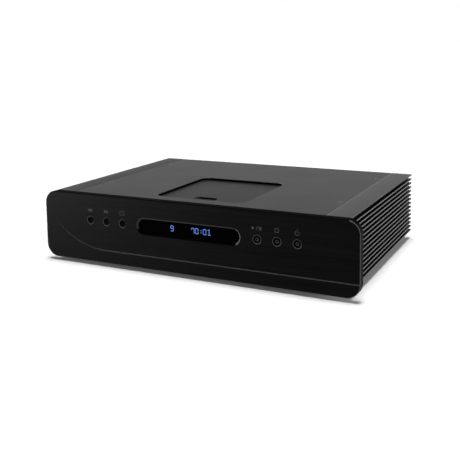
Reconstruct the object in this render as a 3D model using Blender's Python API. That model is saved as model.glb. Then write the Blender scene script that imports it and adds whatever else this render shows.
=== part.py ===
"""Disc player whose lid slides back under the top cover.

Metres, +Z up. The origin lies on the surface that the player stands on, under
the middle of its box. +X is to the right as seen from the front, and +Y runs
from the front to the back.
"""

import math

import bmesh
import bpy
from mathutils import Vector

# Gaps and overlaps
CLEARANCE = 0.0003
OVERRUN = 0.003
SAME_POINT = 0.000001
SMOOTH_ANGLE = math.radians(35)

# Case
BODY_WIDTH = 0.440
BODY_DEPTH = 0.300
FACEPLATE_HEIGHT = 0.090
FACEPLATE_THICKNESS = 0.010
FACEPLATE_LIFT = 0.005
FACEPLATE_CORNER = 0.017
FACEPLATE_EDGE = 0.0008
CORNER_STEPS = 6

# Groove that crosses the faceplate: a level line that sweeps up at its left end
GROOVE_RISE = 0.017
GROOVE_SWEEP_RADIUS = 0.110
GROOVE_SWEEP_WIDTH = 0.098
GROOVE_WIDTH = 0.0013
GROOVE_DEPTH = 0.0008
GROOVE_STEPS = 10

# Display window
DISPLAY_LENGTH_SHARE = 0.325
DISPLAY_HEIGHT = 0.0183
DISPLAY_RISE = 0.0553
DISPLAY_CHAMFER = 0.002
DISPLAY_STEPS = 5
WINDOW_RECESS = 0.0023
WINDOW_FLANGE = 0.0035
WINDOW_FLANGE_THICKNESS = 0.002
PANEL_MARGIN = 0.0035
PANEL_THICKNESS = 0.007
PANEL_EDGE = 0.002

# Push buttons
BUTTON_NAMES = ("previous", "next", "repeat", "play_pause", "stop", "standby")
BUTTON_NEAREST_SHARE = 0.216
BUTTON_PITCH_SHARE = 0.0574
BUTTON_RISE = 0.0555
BUTTON_RADIUS = 0.0046
BUTTON_HOLE_CHAMFER = 0.0007
BUTTON_RECESS = 0.0002
BUTTON_EDGE = 0.0004
BUTTON_RIM = 0.0009
BUTTON_DISH_DEPTH = 0.0005
BUTTON_DISH_RADIUS = 0.0009
BUTTON_FLANGE = 0.0016
BUTTON_FLANGE_THICKNESS = 0.0012
BUTTON_STEM_RADIUS = 0.0018
BUTTON_STEM_LENGTH = 0.0032
BUTTON_TRAVEL = 0.001
BUTTON_SIDES = 16

# Front circuit board
BOARD_THICKNESS = 0.0016
FRONT_BOARD_MARGIN = 0.013
FRONT_BOARD_HEIGHT = 0.048
FRONT_POST_RADIUS = 0.003
FRONT_POST_INSET = 0.005
SWITCH_WIDTH = 0.0062
POST_SIDES = 10

# Side extrusions
HEATSINK_INSET = 0.013
HEATSINK_WIDTH = 0.029
HEATSINK_WALL = 0.006
FIN_PITCH = 0.0058
FIN_ROOT = 0.0028
FIN_TIP = 0.0022
FIN_NOSE = 0.0004
TOP_FLANGE_ROOT = 0.0027
TOP_FLANGE_TIP = 0.0015
COVER_LEDGE_WIDTH = 0.014
COVER_LEDGE_THICKNESS = 0.0047
TRAY_LEDGE_WIDTH = 0.012
TRAY_LEDGE_THICKNESS = 0.004

# Top cover and its disc opening
COVER_THICKNESS = 0.003
COVER_EDGE = 0.0004
OPENING_WIDTH = 0.127
OPENING_LENGTH = 0.136
OPENING_FRONT = 0.029
OPENING_CORNER = 0.012
OPENING_EDGE = 0.0005
SCREW_FROM_EDGE = 0.0077
SCREW_FRONT = 0.083
SCREW_REAR = 0.245
SCREW_HEAD_RADIUS = 0.0027
SCREW_SHANK_RADIUS = 0.0014
SCREW_LENGTH = 0.0074
SCREW_SOCKET_RADIUS = 0.0013
SCREW_SOCKET_DEPTH = 0.0008
SCREW_SIDES = 12

# Sliding lid and its guides
LID_THICKNESS = 0.004
LID_OVERLAP = 0.0035
LID_FRONT_OVERLAP = 0.004
LID_TONGUE_WIDTH = 0.0047
LID_TONGUE_THICKNESS = 0.0015
LID_EDGE = 0.0003
LID_SIDE_OVERLAP = 0.001
PULL_WIDTH = 0.030
PULL_LENGTH = 0.021
PULL_FROM_OPENING = 0.007
PULL_DEPTH = 0.0024
PULL_CORNER = 0.004
PULL_DRAFT = 0.0012
GUIDE_WALL = 0.0035
GUIDE_BELOW = 0.0029
GUIDE_START = 0.024
GUIDE_LIP = 0.0005

# Disc well under the lid
DISC_RADIUS = 0.060
DISC_MARGIN = 0.002
DISC_FROM_OPENING = 0.0615
WELL_FLANGE_THICKNESS = 0.002
WELL_DEPTH = 0.011
WELL_FLOOR = 0.002
WELL_WALL = 0.002
WELL_DRAFT = 0.001
WELL_CORNER = 0.013
WELL_HOLE_RADIUS = 0.0165
WELL_SLOT_WIDTH = 0.022
WELL_SIDES = 40

# Turntable hub and magnetic clamp
HUB_RADIUS = 0.014
HUB_ABOVE_FLOOR = 0.0016
HUB_FLANGE_THICKNESS = 0.0022
HUB_CONE_RADIUS = 0.0074
HUB_CONE_TAPER = 0.0009
HUB_CONE_HEIGHT = 0.002
HUB_SHAFT_RADIUS = 0.002
PUCK_RADIUS = 0.016
PUCK_HEIGHT = 0.006
PUCK_EDGE = 0.001
PUCK_RECESS_DEPTH = 0.0026
PUCK_GRIP_RADIUS = 0.009
PUCK_GRIP_DEPTH = 0.0008
HUB_SIDES = 20

# Pickup sled, its lens and its rack
LENS_INNERMOST = 0.024
SLED_TRAVEL = 0.034
SLED_INNER_LENGTH = 0.026
SLED_OUTER_LENGTH = 0.016
SLED_HALF_WIDTH = 0.025
SLED_HEIGHT = 0.008
SLED_ABOVE_DECK = 0.005
SLED_NOTCH_CLEARANCE = 0.002
OPTIC_LENGTH = 0.020
OPTIC_WIDTH = 0.024
OPTIC_RISE = 0.003
OPTIC_CORNER = 0.003
OPTIC_HEADROOM = 0.0011
LENS_HOLDER_WIDTH = 0.0088
LENS_HOLDER_CORNER = 0.0015
LENS_HOLDER_HEIGHT = 0.0044
LENS_RADIUS = 0.0032
LENS_COLLAR = 0.0006
LENS_CROWN = 0.0008
LENS_CROWN_RADIUS = 0.0015
LENS_SIDE_GAP = 0.0005
FOCUS_TRAVEL = 0.0006
ROD_RADIUS = 0.0015
ROD_OFFSET = 0.021
ROD_SIDES = 10

# Rack and gear drive
RACK_MODULE = 0.001
RACK_TEETH = 15
RACK_TEETH_OUTWARD = 1
RACK_BAR = 0.0012
RACK_THICKNESS = 0.004
PINION_TEETH = 10
WHEEL_MODULE = 0.0006
WHEEL_TEETH = 40
MOTOR_TEETH = 10
WHEEL_THICKNESS = 0.0027
GEAR_FROM_SPINDLE = 0.036
TOOTH_TIP_SHARE = 0.8
TOOTH_ROOT_SHARE = 1.1
TOOTH_TIP_HALF_SHARE = 0.11
TOOTH_ROOT_HALF_SHARE = 0.31
GEAR_STUD_RADIUS = 0.0015
GEAR_SEAT_RADIUS = 0.003
GEAR_SEAT_HEIGHT = 0.0012
PINION_SHAFT_RADIUS = 0.001
FEED_MOTOR_RADIUS = 0.008
FEED_MOTOR_HEIGHT = 0.013

# Transport deck, its dampers and the bridge that carries them
DECK_THICKNESS = 0.002
DECK_LEFT = 0.062
DECK_RIGHT = 0.094
DECK_HALF_LENGTH = 0.050
DECK_CORNER = 0.006
DECK_WINDOW_LENGTH = 0.040
DECK_WINDOW_WIDTH = 0.026
SHEET_STEPS = 2
DAMPER_INSET = 0.007
DAMPER_RADIUS = 0.005
DAMPER_WAIST = 0.0012
DAMPER_HEIGHT = 0.0084
POST_LENGTH = 0.006
POST_HALF_WIDTH = 0.0032
POST_GAP = 0.007
BRIDGE_THICKNESS = 0.002
BRIDGE_MARGIN = 0.004
BRIDGE_FOOT = 0.014
BRIDGE_SIDE_RIM = 0.024
BRIDGE_END_RIM = 0.011
SPINDLE_MOTOR_RADIUS = 0.0125
SPINDLE_MOTOR_HEIGHT = 0.0124
SPINDLE_MOTOR_EDGE = 0.001

# Base tray and feet
FOOT_HEIGHT = 0.0107
FOOT_RADIUS = 0.022
FOOT_PAD_RADIUS = 0.019
FOOT_PAD_HEIGHT = 0.0025
FOOT_EDGE = 0.0008
FOOT_FROM_SIDE = 0.070
FOOT_FROM_FRONT = 0.048
FOOT_FROM_REAR = 0.045
FOOT_SIDES = 20
TRAY_THICKNESS = 0.0015
TRAY_FRONT_LIP = 0.018
TRAY_REAR_LIP = 0.010
VENT_WIDTH = 0.003
VENT_LENGTH = 0.040
VENT_PITCH = 0.010
VENT_COUNT = 7
VENT_FROM_FRONT = 0.100
VENT_FROM_EDGE = 0.054

# Rear panel and what it carries
REAR_THICKNESS = 0.0015
SOCKET_REACH = 0.009
SOCKET_Z = 0.042
SOCKET_BARREL_RADIUS = 0.00415
SOCKET_BODY_RADIUS = 0.005
SOCKET_FLANGE_RADIUS = 0.0075
SOCKET_FLANGE_THICKNESS = 0.0015
SOCKET_BORE_RADIUS = 0.0016
SOCKET_BORE_DEPTH = 0.008
SOCKET_BODY_DEPTH = 0.010
SOCKET_EDGE = 0.0006
SOCKET_SIDES = 14
ANALOG_LEFT_FROM_EDGE = 0.028
ANALOG_RIGHT_FROM_EDGE = 0.053
COAX_FROM_EDGE = 0.088
OPTICAL_FROM_EDGE = 0.115
OPTICAL_WIDTH = 0.0095
OPTICAL_BODY_DEPTH = 0.012
OPTICAL_FLANGE = 0.0015
OPTICAL_RECESS_WIDTH = 0.006
OPTICAL_RECESS_DEPTH = 0.0015
OPTICAL_CORNER = 0.0012
INLET_FROM_EDGE = 0.038
INLET_WIDTH = 0.0274
INLET_HEIGHT = 0.0200
INLET_CUT_CORNER = 0.005
INLET_WALL = 0.0015
INLET_FLANGE = 0.002
INLET_FLANGE_THICKNESS = 0.0022
INLET_DEPTH = 0.019
INLET_CAVITY_DEPTH = 0.0165
PIN_WIDTH = 0.002
PIN_HEIGHT = 0.004
PIN_SPACING = 0.007
PIN_DROP = 0.002
EARTH_PIN_RISE = 0.002
PIN_SHORTFALL = 0.003
SWITCH_FROM_EDGE = 0.080
ROCKER_WIDTH = 0.0104
ROCKER_HALF_HEIGHT = 0.0076
ROCKER_FACE = 0.0030
ROCKER_WAIST = 0.0016
ROCKER_BACK = 0.0015
ROCKER_HEEL = 0.0045
ROCKER_HEEL_HALF_HEIGHT = 0.003
ROCKER_TILT = math.radians(10)
ROCKER_PIVOT_DEPTH = 0.0017
ROCKER_SWING_GAP = 0.0007
FRAME_WALL = 0.0014
FRAME_FLANGE = 0.0012
FRAME_FLANGE_THICKNESS = 0.0015
FRAME_BACK = 0.0015

# Electronics inside the case
TRANSFORMER_MARGIN = 0.003
TRANSFORMER_FROM_FRONT = 0.110
TRANSFORMER_HEIGHT = 0.037
TRANSFORMER_HOLE_SHARE = 0.3
TRANSFORMER_ROUND_SHARE = 0.12
TRANSFORMER_ROUND_STEPS = 2
TRANSFORMER_SIDES = 28
BOLT_RADIUS = 0.0025
BOLT_WASHER_RADIUS = 0.020
BOLT_WASHER_THICKNESS = 0.002
BOLT_HEAD_RADIUS = 0.005
BOLT_HEAD_HEIGHT = 0.004
STANDOFF_HEIGHT = 0.005
STANDOFF_RADIUS = 0.003
STANDOFF_INSET = 0.006
BOARD_INNER = 0.010
BOARD_MARGIN = 0.001
BOARD_FROM_FRONT = 0.175
BOARD_LENGTH = 0.100
CHIP_WIDTH = 0.014
CHIP_HEIGHT = 0.0025
CHIP_COUNT = 4
BRIDGE_RECTIFIER_WIDTH = 0.016
BRIDGE_RECTIFIER_HEIGHT = 0.012
CAPACITOR_PITCH_SHARE = 0.21
CAPACITOR_RADIUS_SHARE = 0.385
CAPACITOR_HEIGHT = 0.035
CAPACITOR_EDGE = 0.0012
CAPACITOR_COUNT = 4
CAPACITOR_FROM_FRONT = 0.215
CAPACITOR_SIDES = 14

# Levels that follow from the sizes above
FRONT = -(BODY_DEPTH + SOCKET_REACH) / 2
REAR = FRONT + BODY_DEPTH
FACEPLATE_BACK = FRONT + FACEPLATE_THICKNESS
CASE_FRONT = FACEPLATE_BACK + CLEARANCE
COVER_TOP = FACEPLATE_LIFT + FACEPLATE_HEIGHT - CLEARANCE
COVER_UNDERSIDE = COVER_TOP - COVER_THICKNESS
HEATSINK_INNER = BODY_WIDTH / 2 - HEATSINK_INSET - HEATSINK_WIDTH
CASE_HALF_WIDTH = HEATSINK_INNER - CLEARANCE
TRAY_LEDGE_INNER = HEATSINK_INNER - TRAY_LEDGE_WIDTH
HEATSINK_UNDERSIDE = FOOT_HEIGHT
TRAY_UNDERSIDE = FOOT_HEIGHT + CLEARANCE
TRAY_TOP = TRAY_UNDERSIDE + TRAY_THICKNESS
FLOOR_SEAT = TRAY_TOP + CLEARANCE
REAR_INNER = REAR - REAR_THICKNESS
LID_TOP = COVER_UNDERSIDE - CLEARANCE
LID_UNDERSIDE = LID_TOP - LID_THICKNESS
LID_HALF_WIDTH = OPENING_WIDTH / 2 + LID_SIDE_OVERLAP
LID_START = FRONT + OPENING_FRONT - LID_FRONT_OVERLAP
LID_END = FRONT + OPENING_FRONT + OPENING_LENGTH + LID_OVERLAP
GUIDE_INNER = LID_HALF_WIDTH + GUIDE_LIP
WELL_TOP = LID_UNDERSIDE - CLEARANCE
WELL_FLOOR_TOP = WELL_TOP - WELL_DEPTH
WELL_UNDERSIDE = WELL_FLOOR_TOP - WELL_FLOOR
WELL_HALF_WIDTH = GUIDE_INNER - CLEARANCE
DISC_Y = FRONT + OPENING_FRONT + DISC_FROM_OPENING
HUB_TOP = WELL_FLOOR_TOP + HUB_ABOVE_FLOOR
OPTIC_TOP = WELL_UNDERSIDE - OPTIC_HEADROOM
SLED_TOP = OPTIC_TOP - OPTIC_RISE
SLED_UNDERSIDE = SLED_TOP - SLED_HEIGHT
ROD_Z = SLED_UNDERSIDE + SLED_HEIGHT / 2
DECK_TOP = SLED_UNDERSIDE - SLED_ABOVE_DECK
DECK_UNDERSIDE = DECK_TOP - DECK_THICKNESS
DAMPER_TOP = DECK_UNDERSIDE - CLEARANCE
BRIDGE_TOP = DAMPER_TOP - DAMPER_HEIGHT - CLEARANCE
BRIDGE_LEFT = DECK_LEFT + BRIDGE_MARGIN
BRIDGE_RIGHT = DECK_RIGHT + BRIDGE_MARGIN
SPINDLE_MOTOR_TOP = DECK_TOP + CLEARANCE + SPINDLE_MOTOR_HEIGHT
PINION_PITCH_RADIUS = RACK_MODULE * PINION_TEETH / 2
WHEEL_PITCH_RADIUS = WHEEL_MODULE * WHEEL_TEETH / 2
MOTOR_PITCH_RADIUS = WHEEL_MODULE * MOTOR_TEETH / 2
RACK_ROOT_Y = DISC_Y - SLED_HALF_WIDTH - RACK_BAR / 2
RACK_PITCH_Y = RACK_ROOT_Y - RACK_MODULE * TOOTH_ROOT_SHARE
GEAR_Y = RACK_PITCH_Y - PINION_PITCH_RADIUS
MOTOR_GEAR_X = GEAR_FROM_SPINDLE + WHEEL_PITCH_RADIUS + MOTOR_PITCH_RADIUS
WHEEL_BOTTOM = DECK_TOP + GEAR_SEAT_HEIGHT + CLEARANCE
WHEEL_TOP = WHEEL_BOTTOM + WHEEL_THICKNESS
BUTTON_NEAREST = BODY_WIDTH * BUTTON_NEAREST_SHARE
BUTTON_PITCH = BODY_WIDTH * BUTTON_PITCH_SHARE
BUTTON_Z = FACEPLATE_LIFT + BUTTON_RISE
DISPLAY_LENGTH = BODY_WIDTH * DISPLAY_LENGTH_SHARE
DISPLAY_Z = FACEPLATE_LIFT + DISPLAY_RISE
WINDOW_BACK = CASE_FRONT + WINDOW_FLANGE_THICKNESS
PANEL_BACK = WINDOW_BACK + CLEARANCE + PANEL_THICKNESS
BOARD_FACE = PANEL_BACK + CLEARANCE
FRONT_BOARD_HALF_WIDTH = HEATSINK_INNER - FRONT_BOARD_MARGIN
BUTTON_END = CASE_FRONT + BUTTON_FLANGE_THICKNESS + BUTTON_STEM_LENGTH
SWITCH_NOSE = BUTTON_END + BUTTON_TRAVEL + CLEARANCE
ANALOG_LEFT_X = HEATSINK_INNER - ANALOG_LEFT_FROM_EDGE
ANALOG_RIGHT_X = HEATSINK_INNER - ANALOG_RIGHT_FROM_EDGE
COAX_X = HEATSINK_INNER - COAX_FROM_EDGE
OPTICAL_X = HEATSINK_INNER - OPTICAL_FROM_EDGE
INLET_X = INLET_FROM_EDGE - HEATSINK_INNER
SWITCH_X = SWITCH_FROM_EDGE - HEATSINK_INNER
PIVOT_Y = REAR - ROCKER_PIVOT_DEPTH
SCREW_X = CASE_HALF_WIDTH - SCREW_FROM_EDGE
TRANSFORMER_OUTER = TRAY_LEDGE_INNER - TRANSFORMER_MARGIN
TRANSFORMER_INNER = BRIDGE_LEFT + BRIDGE_FOOT + TRANSFORMER_MARGIN
TRANSFORMER_X = -(TRANSFORMER_OUTER + TRANSFORMER_INNER) / 2
TRANSFORMER_RADIUS = (TRANSFORMER_OUTER - TRANSFORMER_INNER) / 2
TRANSFORMER_HOLE_RADIUS = TRANSFORMER_RADIUS * TRANSFORMER_HOLE_SHARE
TRANSFORMER_ROUND = TRANSFORMER_RADIUS * TRANSFORMER_ROUND_SHARE
BOARD_OUTER = TRAY_LEDGE_INNER - BOARD_MARGIN
BOARD_FRONT = FRONT + BOARD_FROM_FRONT
BOARD_REAR = BOARD_FRONT + BOARD_LENGTH
CAPACITOR_PITCH = (BOARD_OUTER - BOARD_INNER) * CAPACITOR_PITCH_SHARE
CAPACITOR_RADIUS = CAPACITOR_PITCH * CAPACITOR_RADIUS_SHARE


def clear_scene():
    for thing in list(bpy.data.objects):
        bpy.data.objects.remove(thing, do_unlink=True)


def finish(name, colour, roughness, metallic):
    """A plain surface finish for one sub-part."""
    material = bpy.data.materials.new(name + "_finish")
    material.use_nodes = True
    shader = material.node_tree.nodes["Principled BSDF"]
    shader.inputs["Base Color"].default_value = (*colour, 1)
    shader.inputs["Roughness"].default_value = roughness
    shader.inputs["Metallic"].default_value = metallic
    return material


BLACK_ALUMINIUM = ((0.020, 0.020, 0.022), 0.45, 0.7)
DARK_ALUMINIUM = ((0.050, 0.050, 0.052), 0.50, 0.6)
PAINTED_STEEL = ((0.022, 0.022, 0.023), 0.55, 0.0)
BARE_STEEL = ((0.55, 0.56, 0.58), 0.35, 1.0)
BRASS = ((0.80, 0.60, 0.28), 0.30, 1.0)
BLACK_PLASTIC = ((0.015, 0.015, 0.016), 0.50, 0.0)
WHITE_PLASTIC = ((0.80, 0.80, 0.76), 0.45, 0.0)
SMOKED_ACRYLIC = ((0.004, 0.004, 0.005), 0.08, 0.0)
DISPLAY_GLASS = ((0.010, 0.012, 0.018), 0.15, 0.0)
GREEN_BOARD = ((0.020, 0.130, 0.060), 0.45, 0.0)
BLACK_RUBBER = ((0.012, 0.012, 0.012), 0.85, 0.0)
COPPER_TAPE = ((0.45, 0.16, 0.06), 0.45, 0.6)
LENS_GLASS = ((0.30, 0.42, 0.62), 0.05, 0.0)


def place(axis, across, up, along):
    """The point of an outline that lies so far along an axis."""
    if axis == "X":
        return Vector((along, across, up))
    if axis == "Y":
        return Vector((across, along, up))
    return Vector((across, up, along))


def circle(radius, sides, centre=(0, 0), turn=0):
    points = []
    for side in range(sides):
        angle = turn + math.tau * side / sides
        points.append(Vector(centre) + radius * Vector((math.cos(angle), math.sin(angle))))
    return points


def rectangle(left, right, low, high):
    return [Vector((left, low)), Vector((right, low)), Vector((right, high)), Vector((left, high))]


def rounded_rectangle(width, height, radius, steps, centre=(0, 0)):
    """A rectangle with arcs for corners. Full radii make its short sides round."""
    points = []
    for quarter in range(4):
        towards = math.tau * (quarter + 1 / 2) / 4
        middle = Vector((centre[0] + math.copysign(width / 2 - radius, math.cos(towards)),
                         centre[1] + math.copysign(height / 2 - radius, math.sin(towards))))
        for step in range(steps + 1):
            angle = math.tau * (quarter + step / steps) / 4
            point = middle + radius * Vector((math.cos(angle), math.sin(angle)))
            if not points or (point - points[-1]).length > SAME_POINT:
                points.append(point)
    if (points[-1] - points[0]).length < SAME_POINT:
        points.pop()
    return points


def lofted(rings):
    """A closed solid through rings of equally many points, with flat ends."""
    bm = bmesh.new()
    loops = [[bm.verts.new(point) for point in ring] for ring in rings]
    for lower, upper in zip(loops, loops[1:]):
        for index in range(len(lower)):
            bm.faces.new((lower[index - 1], lower[index], upper[index], upper[index - 1]))
    bm.faces.new(loops[0])
    bm.faces.new(loops[-1])
    bmesh.ops.recalc_face_normals(bm, faces=bm.faces)
    return bm


def turned(profile, sides, axis="Z", centre=(0, 0)):
    """A solid turned about an axis, from (radius, place along the axis) pairs."""
    rings = []
    for radius, along in profile:
        rings.append([place(axis, point.x, point.y, along) for point in circle(radius, sides, centre)])
    return lofted(rings)


def turned_ring(profile, sides, axis="Z", centre=(0, 0)):
    """A ring turned about an axis, from a closed profile that keeps off the axis."""
    bm = bmesh.new()
    loops = []
    for radius, along in profile:
        round_points = circle(radius, sides, centre)
        loops.append([bm.verts.new(place(axis, point.x, point.y, along)) for point in round_points])
    for number, upper in enumerate(loops):
        lower = loops[number - 1]
        for index in range(sides):
            bm.faces.new((lower[index - 1], lower[index], upper[index], upper[index - 1]))
    bmesh.ops.recalc_face_normals(bm, faces=bm.faces)
    return bm


def extruded(outline, low, high, axis="Z", holes=()):
    """A plate between two levels of an axis, with holes right through it."""
    bm = bmesh.new()
    loop_number = bm.verts.layers.int.new("loop_number")
    edges = []
    for number, loop in enumerate((outline, *holes)):
        verts = [bm.verts.new(place(axis, point.x, point.y, low)) for point in loop]
        for vert in verts:
            vert[loop_number] = number
        edges += [bm.edges.new((verts[index - 1], verts[index])) for index in range(len(verts))]
    if holes:
        bmesh.ops.triangle_fill(bm, use_beauty=True, use_dissolve=False, edges=edges)
    else:
        bm.faces.new(verts)
    raised = bmesh.ops.extrude_face_region(bm, geom=list(bm.faces))
    copies = [item for item in raised["geom"] if isinstance(item, bmesh.types.BMVert)]
    bmesh.ops.translate(bm, vec=place(axis, 0, 0, high - low), verts=copies)
    bmesh.ops.recalc_face_normals(bm, faces=bm.faces)
    return bm


def box(left, right, front, back, low, high):
    return extruded(rectangle(left, right, front, back), low, high)


def gathered(solids):
    """One mesh that holds several solids which stay apart."""
    whole = bmesh.new()
    for solid in solids:
        part = bpy.data.meshes.new("part")
        solid.to_mesh(part)
        solid.free()
        whole.from_mesh(part)
        bpy.data.meshes.remove(part)
    return whole


def new_object(name, solid, origin=(0, 0, 0)):
    """An object whose points were given in the player's frame."""
    bmesh.ops.translate(solid, vec=-Vector(origin), verts=solid.verts)
    mesh = bpy.data.meshes.new(name)
    solid.to_mesh(mesh)
    solid.free()
    thing = bpy.data.objects.new(name, mesh)
    thing.location = origin
    bpy.context.scene.collection.objects.link(thing)
    return thing


def piece(name, solid, look, origin=(0, 0, 0), smooth=False):
    thing = new_object(name, solid, origin)
    thing.data.materials.append(finish(name, *look))
    if smooth:
        thing.data.shade_smooth()
        thing.data.set_sharp_from_angle(angle=SMOOTH_ANGLE)
    return thing


def combine(thing, solid, operation, name, solver="EXACT"):
    """Cuts a solid from an object, or joins it on."""
    bmesh.ops.triangulate(solid, faces=solid.faces)
    tool = new_object(thing.name + "_" + name, solid)
    tool.hide_render = True
    tool.display_type = "WIRE"
    modifier = thing.modifiers.new(name, "BOOLEAN")
    modifier.operation = operation
    modifier.solver = solver
    modifier.object = tool


def cut(thing, solid, name):
    combine(thing, solid, "DIFFERENCE", name)


def join(thing, solid, name):
    combine(thing, solid, "UNION", name)


def chamfer_rims(solid, axis, level, widths):
    """Marks the rim of each loop at one level, with its own width, for a Bevel modifier."""
    index = "XYZ".index(axis)
    widest = max(widths)
    loop_number = solid.verts.layers.int["loop_number"]
    weight = solid.edges.layers.float.get("bevel_weight_edge")
    if weight is None:
        weight = solid.edges.layers.float.new("bevel_weight_edge")
    for edge in solid.edges:
        first, second = edge.verts
        at_level = all(abs(vert.co[index] - level) < SAME_POINT for vert in edge.verts)
        if not at_level or first[loop_number] != second[loop_number]:
            continue
        if edge.calc_face_angle() < SMOOTH_ANGLE:
            continue
        edge[weight] = widths[first[loop_number]] / widest
    return widest


def add_chamfers(thing, width):
    modifier = thing.modifiers.new("chamfers", "BEVEL")
    modifier.limit_method = "WEIGHT"
    modifier.width = width
    modifier.segments = 1
    modifier.use_clamp_overlap = False
    modifier.loop_slide = False


def make_faceplate():
    outline = rounded_rectangle(BODY_WIDTH, FACEPLATE_HEIGHT, FACEPLATE_CORNER, CORNER_STEPS,
                                (0, FACEPLATE_LIFT + FACEPLATE_HEIGHT / 2))
    holes = [rounded_rectangle(DISPLAY_LENGTH, DISPLAY_HEIGHT, DISPLAY_HEIGHT / 2, DISPLAY_STEPS,
                               (0, DISPLAY_Z))]
    widths = [FACEPLATE_EDGE, DISPLAY_CHAMFER]
    for x in button_places():
        holes.append(circle(BUTTON_RADIUS + CLEARANCE, BUTTON_SIDES, (x, BUTTON_Z)))
        widths.append(BUTTON_HOLE_CHAMFER)
    solid = extruded(outline, FRONT, FACEPLATE_BACK, "Y", holes)
    widest = chamfer_rims(solid, "Y", FRONT, widths)
    thing = piece("faceplate", solid, BLACK_ALUMINIUM)
    add_chamfers(thing, widest)
    # The exact solver loses a plate with chamfered rims here, and both meshes are closed.
    combine(thing, groove_cutter(), "DIFFERENCE", "groove", "MANIFOLD")


def groove_cutter():
    """A V along the front: an arc down from the left edge, then a level line."""
    level = FACEPLATE_LIFT + GROOVE_RISE
    turn_x = GROOVE_SWEEP_WIDTH - BODY_WIDTH / 2
    reach = min(1, (GROOVE_SWEEP_WIDTH + OVERRUN) / GROOVE_SWEEP_RADIUS)
    path = []
    for step in range(GROOVE_STEPS + 1):
        angle = math.asin(reach) * (1 - step / GROOVE_STEPS)
        centre = Vector((turn_x - GROOVE_SWEEP_RADIUS * math.sin(angle),
                         level + GROOVE_SWEEP_RADIUS * (1 - math.cos(angle))))
        path.append((centre, Vector((math.sin(angle), math.cos(angle)))))
    path.append((Vector((BODY_WIDTH / 2 + OVERRUN, level)), Vector((0, 1))))
    half = GROOVE_WIDTH / 2 * (GROOVE_DEPTH + OVERRUN) / GROOVE_DEPTH
    rings = []
    for centre, across in path:
        above = centre + across * half
        below = centre - across * half
        rings.append([place("Y", above.x, above.y, FRONT - OVERRUN),
                      place("Y", centre.x, centre.y, FRONT + GROOVE_DEPTH),
                      place("Y", below.x, below.y, FRONT - OVERRUN)])
    return lofted(rings)


def button_places():
    """Across the front: three at the left of the display and three at its right."""
    each_side = len(BUTTON_NAMES) // 2
    nearest_first = [BUTTON_NEAREST + BUTTON_PITCH * number for number in range(each_side)]
    return [-x for x in reversed(nearest_first)] + nearest_first


def make_button(name, x):
    face = FRONT + BUTTON_RECESS
    flange = CASE_FRONT + BUTTON_FLANGE_THICKNESS
    profile = [
        (BUTTON_DISH_RADIUS, face + BUTTON_DISH_DEPTH),
        (BUTTON_RADIUS - BUTTON_RIM, face),
        (BUTTON_RADIUS - BUTTON_EDGE, face),
        (BUTTON_RADIUS, face + BUTTON_EDGE),
        (BUTTON_RADIUS, CASE_FRONT),
        (BUTTON_RADIUS + BUTTON_FLANGE, CASE_FRONT),
        (BUTTON_RADIUS + BUTTON_FLANGE, flange),
        (BUTTON_STEM_RADIUS, flange),
        (BUTTON_STEM_RADIUS, BUTTON_END),
    ]
    solid = turned(profile, BUTTON_SIDES, "Y", (x, BUTTON_Z))
    piece("button_" + name, solid, BLACK_ALUMINIUM, (x, FRONT, BUTTON_Z), smooth=True)


def make_display():
    def ring(grow, y):
        height = DISPLAY_HEIGHT + 2 * grow
        outline = rounded_rectangle(DISPLAY_LENGTH + 2 * grow, height, height / 2, DISPLAY_STEPS,
                                    (0, DISPLAY_Z))
        return [place("Y", point.x, point.y, y) for point in outline]

    rings = [
        ring(-CLEARANCE, FRONT + WINDOW_RECESS),
        ring(-CLEARANCE, CASE_FRONT),
        ring(WINDOW_FLANGE, CASE_FRONT),
        ring(WINDOW_FLANGE, WINDOW_BACK),
    ]
    piece("display_window", lofted(rings), SMOKED_ACRYLIC)

    half_length = DISPLAY_LENGTH / 2 + PANEL_MARGIN - WINDOW_FLANGE
    half_height = DISPLAY_HEIGHT / 2 + PANEL_MARGIN
    outline = [
        Vector((-half_length, DISPLAY_Z - half_height)),
        Vector((half_length - PANEL_EDGE, DISPLAY_Z - half_height)),
        Vector((half_length, DISPLAY_Z - half_height + PANEL_EDGE)),
        Vector((half_length, DISPLAY_Z + half_height)),
        Vector((-half_length, DISPLAY_Z + half_height)),
    ]
    piece("display_panel", extruded(outline, WINDOW_BACK + CLEARANCE, PANEL_BACK, "Y"), DISPLAY_GLASS)


def make_front_board():
    low = BUTTON_Z - FRONT_BOARD_HEIGHT / 2
    high = BUTTON_Z + FRONT_BOARD_HEIGHT / 2
    outline = rectangle(-FRONT_BOARD_HALF_WIDTH, FRONT_BOARD_HALF_WIDTH, low, high)
    solid = extruded(outline, BOARD_FACE, BOARD_FACE + BOARD_THICKNESS, "Y")
    board = piece("front_board", solid, GREEN_BOARD)
    inside = BOARD_FACE + BOARD_THICKNESS / 2
    posts = []
    for x in (-FRONT_BOARD_HALF_WIDTH + FRONT_POST_INSET, FRONT_BOARD_HALF_WIDTH - FRONT_POST_INSET):
        for z in (low + FRONT_POST_INSET, high - FRONT_POST_INSET):
            profile = [(FRONT_POST_RADIUS, CASE_FRONT), (FRONT_POST_RADIUS, inside)]
            posts.append(turned(profile, POST_SIDES, "Y", (x, z)))
    half = SWITCH_WIDTH / 2
    for x in button_places():
        posts.append(box(x - half, x + half, SWITCH_NOSE, inside, BUTTON_Z - half, BUTTON_Z + half))
    join(board, gathered(posts), "posts_and_switches")


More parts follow.
